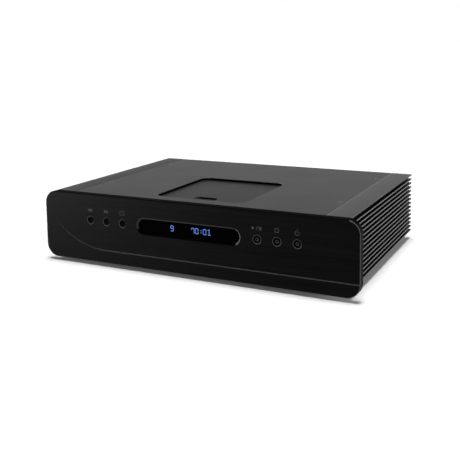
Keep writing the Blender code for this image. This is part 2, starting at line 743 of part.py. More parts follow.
def heatsink_outline():
    """The right extrusion in section, from the lowest fin round to its inner face."""
    wall = HEATSINK_INNER + HEATSINK_WALL
    tip = HEATSINK_INNER + HEATSINK_WIDTH
    points = []
    first = HEATSINK_UNDERSIDE + FIN_ROOT / 2
    highest = COVER_TOP - TOP_FLANGE_ROOT - FIN_ROOT
    for number in range(int((highest - first) / FIN_PITCH) + 1):
        middle = first + FIN_PITCH * number
        points += [
            Vector((wall, middle - FIN_ROOT / 2)),
            Vector((tip - FIN_NOSE, middle - FIN_TIP / 2)),
            Vector((tip, middle - FIN_TIP / 2 + FIN_NOSE)),
            Vector((tip, middle + FIN_TIP / 2 - FIN_NOSE)),
            Vector((tip - FIN_NOSE, middle + FIN_TIP / 2)),
            Vector((wall, middle + FIN_ROOT / 2)),
        ]
    ledge_top = COVER_UNDERSIDE - CLEARANCE
    ledge_low = ledge_top - COVER_LEDGE_THICKNESS
    tray_ledge_top = FLOOR_SEAT + TRAY_LEDGE_THICKNESS
    points += [
        Vector((wall, COVER_TOP - TOP_FLANGE_ROOT)),
        Vector((tip - FIN_NOSE, COVER_TOP - TOP_FLANGE_TIP)),
        Vector((tip, COVER_TOP - TOP_FLANGE_TIP + FIN_NOSE)),
        Vector((tip, COVER_TOP - FIN_NOSE)),
        Vector((tip - FIN_NOSE, COVER_TOP)),
        Vector((HEATSINK_INNER + COVER_EDGE, COVER_TOP)),
        Vector((HEATSINK_INNER, COVER_TOP - COVER_EDGE)),
        Vector((HEATSINK_INNER, ledge_top)),
        Vector((HEATSINK_INNER - COVER_LEDGE_WIDTH, ledge_top)),
        Vector((HEATSINK_INNER - COVER_LEDGE_WIDTH, ledge_low)),
        Vector((HEATSINK_INNER, ledge_low)),
        Vector((HEATSINK_INNER, tray_ledge_top)),
        Vector((TRAY_LEDGE_INNER, tray_ledge_top)),
        Vector((TRAY_LEDGE_INNER, FLOOR_SEAT)),
        Vector((HEATSINK_INNER, FLOOR_SEAT)),
        Vector((HEATSINK_INNER, HEATSINK_UNDERSIDE)),
    ]
    return points


def screw_places(side):
    return [(side * SCREW_X, FRONT + SCREW_FRONT), (side * SCREW_X, FRONT + SCREW_REAR)]


def make_heatsink(name, side):
    outline = [Vector((side * point.x, point.y)) for point in heatsink_outline()]
    thing = piece(name, extruded(outline, CASE_FRONT, REAR, "Y"), DARK_ALUMINIUM)
    low = COVER_UNDERSIDE - CLEARANCE - COVER_LEDGE_THICKNESS - OVERRUN
    radius = SCREW_SHANK_RADIUS + CLEARANCE
    profile = [(radius, low), (radius, COVER_UNDERSIDE + OVERRUN)]
    holes = [turned(profile, SCREW_SIDES, "Z", centre) for centre in screw_places(side)]
    cut(thing, gathered(holes), "screw_holes")


def make_top_cover():
    outline = rectangle(-CASE_HALF_WIDTH, CASE_HALF_WIDTH, CASE_FRONT, REAR)
    holes = [rounded_rectangle(OPENING_WIDTH, OPENING_LENGTH, OPENING_CORNER, CORNER_STEPS,
                               (0, FRONT + OPENING_FRONT + OPENING_LENGTH / 2))]
    widths = [COVER_EDGE, OPENING_EDGE]
    for centre in screw_places(-1) + screw_places(1):
        holes.append(circle(SCREW_SHANK_RADIUS + CLEARANCE, SCREW_SIDES, centre))
        widths.append(SCREW_HEAD_RADIUS - SCREW_SHANK_RADIUS)
    solid = extruded(outline, COVER_UNDERSIDE, COVER_TOP, "Z", holes)
    widest = chamfer_rims(solid, "Z", COVER_TOP, widths)
    thing = piece("top_cover", solid, DARK_ALUMINIUM)
    add_chamfers(thing, widest)


def make_cover_screw(name, centre):
    """A countersunk screw whose cone follows the cover's chamfer."""
    top = COVER_TOP - CLEARANCE
    cone = SCREW_HEAD_RADIUS - CLEARANCE
    profile = [
        (SCREW_SOCKET_RADIUS, top - SCREW_SOCKET_DEPTH),
        (SCREW_SOCKET_RADIUS, top),
        (cone, top),
        (SCREW_SHANK_RADIUS, top - (cone - SCREW_SHANK_RADIUS)),
        (SCREW_SHANK_RADIUS, top - SCREW_LENGTH),
    ]
    piece(name, turned(profile, SCREW_SIDES, "Z", centre), BLACK_ALUMINIUM, (*centre, top), smooth=True)


def lid_tongue_levels():
    middle = (LID_TOP + LID_UNDERSIDE) / 2
    return middle - LID_TONGUE_THICKNESS / 2, middle + LID_TONGUE_THICKNESS / 2


def make_disc_lid():
    """A plate with a tongue along each side and a finger pull near its front."""
    low, high = lid_tongue_levels()
    half = LID_HALF_WIDTH
    reach = half + LID_TONGUE_WIDTH
    right = [
        Vector((half, LID_UNDERSIDE)),
        Vector((half, low)),
        Vector((reach, low)),
        Vector((reach, high)),
        Vector((half, high)),
        Vector((half, LID_TOP - LID_EDGE)),
        Vector((half - LID_EDGE, LID_TOP)),
    ]
    left = [Vector((-point.x, point.y)) for point in reversed(right)]
    solid = extruded(right + left, LID_START, LID_END, "Y")
    lid = piece("disc_lid", solid, DARK_ALUMINIUM, (0, LID_START, LID_UNDERSIDE))
    cut(lid, finger_pull_cutter(), "finger_pull")


def finger_pull_cutter():
    """A pocket with a steep back wall, and a front that ramps down to its floor."""
    start = FRONT + OPENING_FRONT + PULL_FROM_OPENING
    rings = []
    for share in (0, 1):
        grow = PULL_DRAFT * share
        length = PULL_LENGTH / 2 + (PULL_LENGTH / 2 + grow) * share
        outline = rounded_rectangle(PULL_WIDTH + 2 * grow, length, PULL_CORNER, CORNER_STEPS // 2,
                                    (0, start + PULL_LENGTH - length / 2))
        level = LID_TOP - PULL_DEPTH * (1 - share)
        rings.append([place("Z", point.x, point.y, level) for point in outline])
    above = [point + Vector((0, 0, OVERRUN)) for point in rings[-1]]
    return lofted(rings + [above])


def make_lid_guide(name, side):
    """A rail whose groove holds the lid's tongue."""
    low, high = lid_tongue_levels()
    groove_end = LID_HALF_WIDTH + LID_TONGUE_WIDTH + CLEARANCE
    outline = [
        Vector((GUIDE_INNER, LID_UNDERSIDE - GUIDE_BELOW)),
        Vector((groove_end + GUIDE_WALL, LID_UNDERSIDE - GUIDE_BELOW)),
        Vector((groove_end + GUIDE_WALL, LID_TOP)),
        Vector((GUIDE_INNER, LID_TOP)),
        Vector((GUIDE_INNER, high + CLEARANCE)),
        Vector((groove_end, high + CLEARANCE)),
        Vector((groove_end, low - CLEARANCE)),
        Vector((GUIDE_INNER, low - CLEARANCE)),
    ]
    outline = [Vector((side * point.x, point.y)) for point in outline]
    piece(name, extruded(outline, FRONT + GUIDE_START, REAR_INNER - CLEARANCE, "Y"), BLACK_PLASTIC)


def make_disc_well():
    """A square flange round a dish that is a little wider than a disc."""
    top_radius = DISC_RADIUS + DISC_MARGIN
    floor_radius = top_radius - WELL_DRAFT
    outline = rounded_rectangle(2 * WELL_HALF_WIDTH, 2 * WELL_HALF_WIDTH, WELL_CORNER, CORNER_STEPS // 2,
                                (0, DISC_Y))
    solid = extruded(outline, WELL_TOP - WELL_FLANGE_THICKNESS, WELL_TOP)
    well = piece("disc_well", solid, BLACK_PLASTIC)
    bowl = [
        (floor_radius + WELL_WALL - WELL_DRAFT, WELL_UNDERSIDE),
        (floor_radius + WELL_WALL, WELL_UNDERSIDE + WELL_DRAFT),
        (top_radius + WELL_WALL, WELL_TOP - WELL_FLANGE_THICKNESS / 2),
    ]
    join(well, turned(bowl, WELL_SIDES, "Z", (0, DISC_Y)), "bowl")
    dish = [
        (floor_radius - WELL_DRAFT, WELL_FLOOR_TOP),
        (floor_radius, WELL_FLOOR_TOP + WELL_DRAFT),
        (top_radius, WELL_TOP),
        (top_radius, WELL_TOP + OVERRUN),
    ]
    cut(well, turned(dish, WELL_SIDES, "Z", (0, DISC_Y)), "dish")
    below = WELL_UNDERSIDE - OVERRUN
    hole = [(WELL_HOLE_RADIUS, below), (WELL_HOLE_RADIUS, WELL_FLOOR_TOP + OVERRUN)]
    cut(well, turned(hole, HUB_SIDES, "Z", (0, DISC_Y)), "hub_hole")
    outermost = LENS_INNERMOST + SLED_TRAVEL + LENS_HOLDER_WIDTH / 2 + LENS_SIDE_GAP
    half = WELL_SLOT_WIDTH / 2
    slot = box(0, outermost, DISC_Y - half, DISC_Y + half, below, WELL_FLOOR_TOP + WELL_DRAFT / 2)
    cut(well, slot, "lens_slot")


def make_spindle():
    centre = (0, DISC_Y)
    motor = [
        (SPINDLE_MOTOR_RADIUS, DECK_TOP + CLEARANCE),
        (SPINDLE_MOTOR_RADIUS, SPINDLE_MOTOR_TOP - SPINDLE_MOTOR_EDGE),
        (SPINDLE_MOTOR_RADIUS - SPINDLE_MOTOR_EDGE, SPINDLE_MOTOR_TOP),
    ]
    piece("spindle_motor", turned(motor, HUB_SIDES, "Z", centre), BARE_STEEL, smooth=True)

    hub = [
        (HUB_SHAFT_RADIUS, SPINDLE_MOTOR_TOP + CLEARANCE),
        (HUB_SHAFT_RADIUS, HUB_TOP - HUB_FLANGE_THICKNESS),
        (HUB_RADIUS, HUB_TOP - HUB_FLANGE_THICKNESS),
        (HUB_RADIUS, HUB_TOP),
        (HUB_CONE_RADIUS, HUB_TOP),
        (HUB_CONE_RADIUS - HUB_CONE_TAPER, HUB_TOP + HUB_CONE_HEIGHT),
    ]
    piece("spindle_hub", turned(hub, HUB_SIDES, "Z", centre), BLACK_PLASTIC, (*centre, HUB_TOP), smooth=True)

    seat = HUB_TOP + CLEARANCE
    recess_radius = HUB_CONE_RADIUS + 2 * CLEARANCE
    top = seat + PUCK_HEIGHT
    puck = [
        (recess_radius, seat + PUCK_RECESS_DEPTH),
        (recess_radius, seat),
        (PUCK_RADIUS - PUCK_EDGE, seat),
        (PUCK_RADIUS, seat + PUCK_EDGE),
        (PUCK_RADIUS, top - PUCK_EDGE),
        (PUCK_RADIUS - PUCK_EDGE, top),
        (PUCK_GRIP_RADIUS, top),
        (PUCK_GRIP_RADIUS - PUCK_GRIP_DEPTH, top - PUCK_GRIP_DEPTH),
    ]
    piece("clamp_puck", turned(puck, HUB_SIDES, "Z", centre), BLACK_ALUMINIUM, (*centre, seat), smooth=True)


def sled_outline():
    """A plate across both rods, with a round notch that clears the spindle motor."""
    inner = LENS_INNERMOST - SLED_INNER_LENGTH
    outer = LENS_INNERMOST + SLED_OUTER_LENGTH
    notch = SPINDLE_MOTOR_RADIUS + SLED_NOTCH_CLEARANCE
    half_angle = math.acos(max(-1, min(1, inner / notch)))
    points = rectangle(inner, outer, DISC_Y - SLED_HALF_WIDTH, DISC_Y + SLED_HALF_WIDTH)
    for step in range(CORNER_STEPS + 1):
        angle = half_angle * (1 - 2 * step / CORNER_STEPS)
        points.append(Vector((notch * math.cos(angle), DISC_Y + notch * math.sin(angle))))
    return points


def tooth_line(teeth, pitch, place_at):
    """The corners of straight-sided teeth, through a rule that places each one."""
    shares = (
        (-TOOTH_ROOT_HALF_SHARE, -TOOTH_ROOT_SHARE),
        (-TOOTH_TIP_HALF_SHARE, TOOTH_TIP_SHARE),
        (TOOTH_TIP_HALF_SHARE, TOOTH_TIP_SHARE),
        (TOOTH_ROOT_HALF_SHARE, -TOOTH_ROOT_SHARE),
    )
    return [place_at((tooth + along) * pitch, out) for tooth in range(teeth) for along, out in shares]


def gear_outline(teeth, module, centre, turn):
    """A gear whose first tooth points along an angle."""
    def place_at(angle, out):
        radius = module * (teeth / 2 + out)
        return Vector(centre) + radius * Vector((math.cos(turn + angle), math.sin(turn + angle)))

    return tooth_line(teeth, math.tau / teeth, place_at)


def rack_outline():
    """Teeth that point at the gear, one of them level with its axis when the sled is home."""
    pitch = math.pi * RACK_MODULE
    first = GEAR_FROM_SPINDLE - pitch * (RACK_TEETH - 1 - RACK_TEETH_OUTWARD)

    def place_at(along, out):
        return Vector((first + along, RACK_PITCH_Y - RACK_MODULE * out))

    teeth = tooth_line(RACK_TEETH, pitch, place_at)
    back = RACK_ROOT_Y + RACK_BAR
    return teeth + [Vector((teeth[-1].x, back)), Vector((teeth[0].x, back))]


def make_pickup_sled():
    lens = (LENS_INNERMOST, DISC_Y)
    solid = extruded(sled_outline(), SLED_UNDERSIDE, SLED_TOP)
    sled = piece("pickup_sled", solid, BLACK_PLASTIC, (*lens, ROD_Z))
    rack_low = ROD_Z - RACK_THICKNESS / 2
    join(sled, extruded(rack_outline(), rack_low, rack_low + RACK_THICKNESS), "rack")
    block = rounded_rectangle(OPTIC_LENGTH, OPTIC_WIDTH, OPTIC_CORNER, SHEET_STEPS, lens)
    join(sled, extruded(block, SLED_TOP - OPTIC_RISE, OPTIC_TOP), "optic_block")
    half = LENS_HOLDER_WIDTH / 2 + LENS_SIDE_GAP
    pocket_floor = lens_holder_bottom() - FOCUS_TRAVEL - CLEARANCE
    pocket = box(lens[0] - half, lens[0] + half, lens[1] - half, lens[1] + half,
                 pocket_floor, OPTIC_TOP + OVERRUN)
    cut(sled, pocket, "lens_pocket")
    bores = []
    inner = LENS_INNERMOST - SLED_INNER_LENGTH - OVERRUN
    outer = LENS_INNERMOST + SLED_OUTER_LENGTH + OVERRUN
    for y in (DISC_Y - ROD_OFFSET, DISC_Y + ROD_OFFSET):
        profile = [(ROD_RADIUS + CLEARANCE, inner), (ROD_RADIUS + CLEARANCE, outer)]
        bores.append(turned(profile, ROD_SIDES, "X", (y, ROD_Z)))
    cut(sled, gathered(bores), "rod_bores")


def lens_holder_bottom():
    return OPTIC_TOP + LENS_COLLAR - LENS_HOLDER_HEIGHT


def make_objective_lens():
    lens = (LENS_INNERMOST, DISC_Y)
    bottom = lens_holder_bottom()
    top = bottom + LENS_HOLDER_HEIGHT
    square = rounded_rectangle(LENS_HOLDER_WIDTH, LENS_HOLDER_WIDTH, LENS_HOLDER_CORNER, SHEET_STEPS, lens)
    sides = len(square)
    turn = math.tau / (2 * sides)
    rings = [
        [place("Z", point.x, point.y, bottom) for point in square],
        [place("Z", point.x, point.y, top) for point in square],
    ]
    for radius, level in ((LENS_RADIUS, top), (LENS_RADIUS, top + LENS_COLLAR),
                          (LENS_CROWN_RADIUS, top + LENS_COLLAR + LENS_CROWN)):
        rings.append([place("Z", point.x, point.y, level) for point in circle(radius, sides, lens, turn)])
    piece("objective_lens", lofted(rings), LENS_GLASS, (*lens, top), smooth=True)


def make_gears():
    """The feed gear's pinion drives the rack, and the motor's pinion drives its wheel."""
    axis = (GEAR_FROM_SPINDLE, GEAR_Y)
    half_tooth = math.tau / (2 * PINION_TEETH)
    wheel = gear_outline(WHEEL_TEETH, WHEEL_MODULE, axis, 0)
    bore = circle(GEAR_STUD_RADIUS + CLEARANCE, POST_SIDES, axis)
    solid = extruded(wheel, WHEEL_BOTTOM, WHEEL_TOP, "Z", [bore])
    gear = piece("feed_gear", solid, WHITE_PLASTIC, (*axis, WHEEL_BOTTOM))
    pinion = gear_outline(PINION_TEETH, RACK_MODULE, axis, math.tau / 4 + half_tooth)
    pinion_top = ROD_Z + RACK_THICKNESS / 2 + CLEARANCE
    join(gear, extruded(pinion, WHEEL_TOP - WHEEL_THICKNESS / 2, pinion_top, "Z", [bore]), "pinion")

    motor_axis = (MOTOR_GEAR_X, GEAR_Y)
    half_tooth = math.tau / (2 * MOTOR_TEETH)
    teeth = gear_outline(MOTOR_TEETH, WHEEL_MODULE, motor_axis, math.pi + half_tooth)
    solid = extruded(teeth, WHEEL_BOTTOM, WHEEL_TOP)
    small = piece("motor_pinion", solid, BRASS, (*motor_axis, WHEEL_BOTTOM))
    shaft = [(PINION_SHAFT_RADIUS, DECK_UNDERSIDE), (PINION_SHAFT_RADIUS, WHEEL_BOTTOM + WHEEL_THICKNESS / 2)]
    join(small, turned(shaft, POST_SIDES, "Z", motor_axis), "shaft")

    top = DECK_UNDERSIDE - CLEARANCE
    body = [
        (FEED_MOTOR_RADIUS - SPINDLE_MOTOR_EDGE, top - FEED_MOTOR_HEIGHT),
        (FEED_MOTOR_RADIUS, top - FEED_MOTOR_HEIGHT + SPINDLE_MOTOR_EDGE),
        (FEED_MOTOR_RADIUS, top),
    ]
    piece("feed_motor", turned(body, HUB_SIDES, "Z", motor_axis), BARE_STEEL, smooth=True)


def rod_post_places():
    """Where the left and right posts begin, clear of the sled at both ends of its travel."""
    left = LENS_INNERMOST - SLED_INNER_LENGTH - POST_GAP - POST_LENGTH
    right = LENS_INNERMOST + SLED_OUTER_LENGTH + SLED_TRAVEL + POST_GAP
    return left, right


def make_transport_deck():
    middle = ((DECK_RIGHT - DECK_LEFT) / 2, DISC_Y)
    outline = rounded_rectangle(DECK_LEFT + DECK_RIGHT, 2 * DECK_HALF_LENGTH, DECK_CORNER, SHEET_STEPS,
                                middle)
    window = rounded_rectangle(DECK_WINDOW_LENGTH, DECK_WINDOW_WIDTH, DECK_CORNER / 2, SHEET_STEPS,
                               (SPINDLE_MOTOR_RADIUS + DECK_CORNER + DECK_WINDOW_LENGTH / 2, DISC_Y))
    shaft_hole = circle(PINION_SHAFT_RADIUS + 2 * CLEARANCE, POST_SIDES, (MOTOR_GEAR_X, GEAR_Y))
    solid = extruded(outline, DECK_UNDERSIDE, DECK_TOP, "Z", [window, shaft_hole])
    deck = piece("transport_deck", solid, BARE_STEEL)
    inside = DECK_TOP - DECK_THICKNESS / 2
    additions = []
    for y in (DISC_Y - ROD_OFFSET, DISC_Y + ROD_OFFSET):
        for x in rod_post_places():
            additions.append(extruded(rod_post_outline(y, inside), x, x + POST_LENGTH, "X"))
    stud = [
        (GEAR_SEAT_RADIUS, inside),
        (GEAR_SEAT_RADIUS, DECK_TOP + GEAR_SEAT_HEIGHT),
        (GEAR_STUD_RADIUS, DECK_TOP + GEAR_SEAT_HEIGHT),
        (GEAR_STUD_RADIUS, ROD_Z + RACK_THICKNESS / 2),
    ]
    additions.append(turned(stud, POST_SIDES, "Z", (GEAR_FROM_SPINDLE, GEAR_Y)))
    join(deck, gathered(additions), "posts_and_stud")


def rod_post_outline(y, low):
    """A post with a square notch in its top, which a rod lies in."""
    notch = ROD_RADIUS + CLEARANCE
    top = ROD_Z + ROD_RADIUS
    return [
        Vector((y - POST_HALF_WIDTH, low)),
        Vector((y + POST_HALF_WIDTH, low)),
        Vector((y + POST_HALF_WIDTH, top)),
        Vector((y + notch, top)),
        Vector((y + notch, ROD_Z - notch)),
        Vector((y - notch, ROD_Z - notch)),
        Vector((y - notch, top)),
        Vector((y - POST_HALF_WIDTH, top)),
    ]


def make_guide_rod(name, y):
    left, right = rod_post_places()
    profile = [(ROD_RADIUS, left), (ROD_RADIUS, right + POST_LENGTH)]
    piece(name, turned(profile, ROD_SIDES, "X", (y, ROD_Z)), BARE_STEEL, smooth=True)


def damper_places():
    left = -DECK_LEFT + DAMPER_INSET
    right = DECK_RIGHT - DAMPER_INSET
    front = DISC_Y - DECK_HALF_LENGTH + DAMPER_INSET
    rear = DISC_Y + DECK_HALF_LENGTH - DAMPER_INSET
    return {
        "front_left": (left, front),
        "front_right": (right, front),
        "rear_left": (left, rear),
        "rear_right": (right, rear),
    }


def make_damper(name, centre):
    low = BRIDGE_TOP + CLEARANCE
    middle = (low + DAMPER_TOP) / 2
    profile = [(DAMPER_RADIUS, low), (DAMPER_RADIUS - DAMPER_WAIST, middle), (DAMPER_RADIUS, DAMPER_TOP)]
    piece(name, turned(profile, POST_SIDES, "Z", centre), BLACK_RUBBER, smooth=True)


def make_transport_bridge():
    """Sheet folded down at both sides, on which the dampers stand."""
    left = -BRIDGE_LEFT
    right = BRIDGE_RIGHT
    sheet = BRIDGE_THICKNESS
    outline = [
        Vector((left - BRIDGE_FOOT, FLOOR_SEAT)),
        Vector((left + sheet, FLOOR_SEAT)),
        Vector((left + sheet, BRIDGE_TOP - sheet)),
        Vector((right - sheet, BRIDGE_TOP - sheet)),
        Vector((right - sheet, FLOOR_SEAT)),
        Vector((right + BRIDGE_FOOT, FLOOR_SEAT)),
        Vector((right + BRIDGE_FOOT, FLOOR_SEAT + sheet)),
        Vector((right, FLOOR_SEAT + sheet)),
        Vector((right, BRIDGE_TOP - sheet)),
        Vector((right - sheet, BRIDGE_TOP)),
        Vector((left + sheet, BRIDGE_TOP)),
        Vector((left, BRIDGE_TOP - sheet)),
        Vector((left, FLOOR_SEAT + sheet)),
        Vector((left - BRIDGE_FOOT, FLOOR_SEAT + sheet)),
    ]
    half = DECK_HALF_LENGTH + BRIDGE_MARGIN
    bridge = piece("transport_bridge", extruded(outline, DISC_Y - half, DISC_Y + half, "Y"), BARE_STEEL)
    window = rounded_rectangle(right - left - 2 * BRIDGE_SIDE_RIM, 2 * (half - BRIDGE_END_RIM), DECK_CORNER,
                               SHEET_STEPS, ((left + right) / 2, DISC_Y))
    cut(bridge, extruded(window, BRIDGE_TOP - sheet - OVERRUN, BRIDGE_TOP + OVERRUN), "window")


def make_base_tray():
    """A sheet under the ledges of the side extrusions, with a lip at its front and its rear."""
    front = CASE_FRONT
    rear = REAR_INNER - CLEARANCE
    plate = box(-CASE_HALF_WIDTH, CASE_HALF_WIDTH, front, rear, TRAY_UNDERSIDE, TRAY_TOP)
    tray = piece("base_tray", plate, PAINTED_STEEL)
    half = TRAY_LEDGE_INNER - CLEARANCE
    inside = (TRAY_UNDERSIDE + TRAY_TOP) / 2
    lips = [
        box(-half, half, front, front + TRAY_THICKNESS, inside, TRAY_TOP + TRAY_FRONT_LIP),
        box(-half, half, rear - TRAY_THICKNESS, rear, inside, TRAY_TOP + TRAY_REAR_LIP),
    ]
    join(tray, gathered(lips), "lips")
    slots = []
    for number in range(VENT_COUNT):
        y = FRONT + VENT_FROM_FRONT + VENT_PITCH * number
        for side in (-1, 1):
            middle = (side * (HEATSINK_INNER - VENT_FROM_EDGE), y)
            slot = rounded_rectangle(VENT_LENGTH, VENT_WIDTH, VENT_WIDTH / 2, SHEET_STEPS, middle)
            slots.append(extruded(slot, TRAY_UNDERSIDE - OVERRUN, TRAY_TOP + OVERRUN))
    cut(tray, gathered(slots), "vents")


def make_foot(name, centre):
    profile = [
        (FOOT_PAD_RADIUS - FOOT_EDGE, 0),
        (FOOT_PAD_RADIUS, FOOT_EDGE),
        (FOOT_PAD_RADIUS, FOOT_PAD_HEIGHT),
        (FOOT_RADIUS - FOOT_EDGE, FOOT_PAD_HEIGHT),
        (FOOT_RADIUS, FOOT_PAD_HEIGHT + FOOT_EDGE),
        (FOOT_RADIUS, FOOT_HEIGHT - FOOT_EDGE),
        (FOOT_RADIUS - FOOT_EDGE, FOOT_HEIGHT),
    ]
    piece(name, turned(profile, FOOT_SIDES, "Z", centre), BLACK_RUBBER, (*centre, 0), smooth=True)


def make_feet():
    x = BODY_WIDTH / 2 - FOOT_FROM_SIDE
    front = FRONT + FOOT_FROM_FRONT
    rear = REAR - FOOT_FROM_REAR
    make_foot("foot_front_left", (-x, front))
    make_foot("foot_front_right", (x, front))
    make_foot("foot_rear_left", (-x, rear))
    make_foot("foot_rear_right", (x, rear))


def inlet_outline(grow, y):
    """The mains socket's outline, with its two upper corners cut off."""
    half_width = INLET_WIDTH / 2 + grow
    low = SOCKET_Z - INLET_HEIGHT / 2 - grow
    high = SOCKET_Z + INLET_HEIGHT / 2 + grow
    corner = INLET_CUT_CORNER
    points = [(-half_width, low), (half_width, low), (half_width, high - corner), (half_width - corner, high),
              (corner - half_width, high), (-half_width, high - corner)]
    return [place("Y", INLET_X + across, up, y) for across, up in points]


def make_mains_inlet():
    back = REAR - INLET_DEPTH
    flange = REAR + CLEARANCE
    mouth = flange + INLET_FLANGE_THICKNESS
    cavity_floor = mouth - INLET_CAVITY_DEPTH
    rings = [
        inlet_outline(0, back),
        inlet_outline(0, flange),
        inlet_outline(INLET_FLANGE, flange),
        inlet_outline(INLET_FLANGE, mouth),
        inlet_outline(-INLET_WALL, mouth),
        inlet_outline(-INLET_WALL, cavity_floor),
    ]
    inlet = piece("mains_inlet", lofted(rings), BLACK_PLASTIC)
    pins = []
    for x, z in ((-PIN_SPACING, -PIN_DROP), (0, EARTH_PIN_RISE), (PIN_SPACING, -PIN_DROP)):
        left = INLET_X + x - PIN_WIDTH / 2
        low = SOCKET_Z + z - PIN_HEIGHT / 2
        tip = mouth - PIN_SHORTFALL
        pins.append(box(left, left + PIN_WIDTH, (back + cavity_floor) / 2, tip, low, low + PIN_HEIGHT))
    join(inlet, gathered(pins), "pins")


def frame_ring(half_width, half_height, y):
    outline = rectangle(SWITCH_X - half_width, SWITCH_X + half_width,
                        SOCKET_Z - half_height, SOCKET_Z + half_height)
    return [place("Y", point.x, point.y, y) for point in outline]


def rocker_reach():
    """How far the rocker's longest corner is from its pivot."""
    return math.hypot(ROCKER_FACE, ROCKER_HALF_HEIGHT)


def make_power_switch():
    inner_half_width = ROCKER_WIDTH / 2 + CLEARANCE
    inner_half_height = rocker_reach() + CLEARANCE
    outer_half_width = inner_half_width + FRAME_WALL
    outer_half_height = inner_half_height + FRAME_WALL
    cavity_floor = PIVOT_Y - math.hypot(ROCKER_HEEL, ROCKER_HEEL_HALF_HEIGHT) - ROCKER_SWING_GAP
    flange = REAR + CLEARANCE
    mouth = flange + FRAME_FLANGE_THICKNESS
    rings = [
        frame_ring(outer_half_width, outer_half_height, cavity_floor - FRAME_BACK),
        frame_ring(outer_half_width, outer_half_height, flange),
        frame_ring(outer_half_width + FRAME_FLANGE, outer_half_height + FRAME_FLANGE, flange),
        frame_ring(outer_half_width + FRAME_FLANGE, outer_half_height + FRAME_FLANGE, mouth),
        frame_ring(inner_half_width, inner_half_height, mouth),
        frame_ring(inner_half_width, inner_half_height, cavity_floor),
    ]
    piece("power_switch_frame", lofted(rings), BLACK_PLASTIC)

    pivot = (SWITCH_X, PIVOT_Y, SOCKET_Z)
    outline = [
        Vector((ROCKER_FACE, ROCKER_HALF_HEIGHT)),
        Vector((ROCKER_WAIST, 0)),
        Vector((ROCKER_FACE, -ROCKER_HALF_HEIGHT)),
        Vector((-ROCKER_BACK, -ROCKER_HALF_HEIGHT)),
        Vector((-ROCKER_HEEL, -ROCKER_HEEL_HALF_HEIGHT)),
        Vector((-ROCKER_HEEL, ROCKER_HEEL_HALF_HEIGHT)),
        Vector((-ROCKER_BACK, ROCKER_HALF_HEIGHT)),
    ]
    outline = [Vector((PIVOT_Y + point.x, SOCKET_Z + point.y)) for point in outline]
    solid = extruded(outline, SWITCH_X - ROCKER_WIDTH / 2, SWITCH_X + ROCKER_WIDTH / 2, "X")
    rocker = piece("power_rocker", solid, BLACK_PLASTIC, pivot)
    rocker.rotation_euler = (-ROCKER_TILT, 0, 0)


def make_round_socket(name, x, look):
    """A socket with a bore in its barrel, a flange outside the panel and a body behind it."""
    flange = REAR + CLEARANCE
    end = REAR + SOCKET_REACH
    profile = [
        (SOCKET_BODY_RADIUS - SOCKET_EDGE, REAR - SOCKET_BODY_DEPTH),
        (SOCKET_BODY_RADIUS, REAR - SOCKET_BODY_DEPTH + SOCKET_EDGE),
        (SOCKET_BODY_RADIUS, flange),
        (SOCKET_FLANGE_RADIUS, flange),
        (SOCKET_FLANGE_RADIUS, flange + SOCKET_FLANGE_THICKNESS),
        (SOCKET_BARREL_RADIUS, flange + SOCKET_FLANGE_THICKNESS),
        (SOCKET_BARREL_RADIUS, end - SOCKET_EDGE),
        (SOCKET_BARREL_RADIUS - SOCKET_EDGE, end),
        (SOCKET_BORE_RADIUS, end),
        (SOCKET_BORE_RADIUS, end - SOCKET_BORE_DEPTH),
    ]
    piece(name, turned(profile, SOCKET_SIDES, "Y", (x, SOCKET_Z)), look, smooth=True)


def make_optical_output():
    """A square socket closed by its dust shutter."""
    flange = REAR + CLEARANCE
    mouth = flange + OPTICAL_FLANGE
    levels = [
        (OPTICAL_WIDTH, REAR - OPTICAL_BODY_DEPTH),
        (OPTICAL_WIDTH, flange),
        (OPTICAL_WIDTH + 2 * OPTICAL_FLANGE, flange),
        (OPTICAL_WIDTH + 2 * OPTICAL_FLANGE, mouth),
        (OPTICAL_RECESS_WIDTH, mouth),
        (OPTICAL_RECESS_WIDTH, mouth - OPTICAL_RECESS_DEPTH),
    ]
    rings = []
    for width, y in levels:
        outline = rounded_rectangle(width, width, OPTICAL_CORNER, SHEET_STEPS, (OPTICAL_X, SOCKET_Z))
        rings.append([place("Y", point.x, point.y, y) for point in outline])
    piece("digital_output_optical", lofted(rings), BLACK_PLASTIC)


def flat(ring):
    return [Vector((point.x, point.z)) for point in ring]


def make_rear_panel():
    """Notched at its corners round the ledges of the side extrusions."""
    low = TRAY_UNDERSIDE
    tray_step = FLOOR_SEAT + TRAY_LEDGE_THICKNESS + CLEARANCE
    cover_step = COVER_UNDERSIDE - CLEARANCE - COVER_LEDGE_THICKNESS - CLEARANCE
    tray_half = TRAY_LEDGE_INNER - CLEARANCE
    cover_half = HEATSINK_INNER - COVER_LEDGE_WIDTH - CLEARANCE
    right = [
        Vector((tray_half, low)),
        Vector((tray_half, tray_step)),
        Vector((CASE_HALF_WIDTH, tray_step)),
        Vector((CASE_HALF_WIDTH, cover_step)),
        Vector((cover_half, cover_step)),
        Vector((cover_half, LID_TOP)),
    ]
    left = [Vector((-point.x, point.y)) for point in reversed(right)]
    holes = []
    for x in (ANALOG_LEFT_X, ANALOG_RIGHT_X, COAX_X):
        holes.append(circle(SOCKET_BODY_RADIUS + CLEARANCE, SOCKET_SIDES, (x, SOCKET_Z)))
    optical = OPTICAL_WIDTH + 2 * CLEARANCE
    holes.append(rounded_rectangle(optical, optical, OPTICAL_CORNER, SHEET_STEPS, (OPTICAL_X, SOCKET_Z)))
    holes.append(flat(inlet_outline(CLEARANCE, 0)))
    half_width = ROCKER_WIDTH / 2 + FRAME_WALL + 2 * CLEARANCE
    half_height = rocker_reach() + FRAME_WALL + 2 * CLEARANCE
    holes.append(flat(frame_ring(half_width, half_height, 0)))
    piece("rear_panel", extruded(right + left, REAR_INNER, REAR, "Y", holes), PAINTED_STEEL)


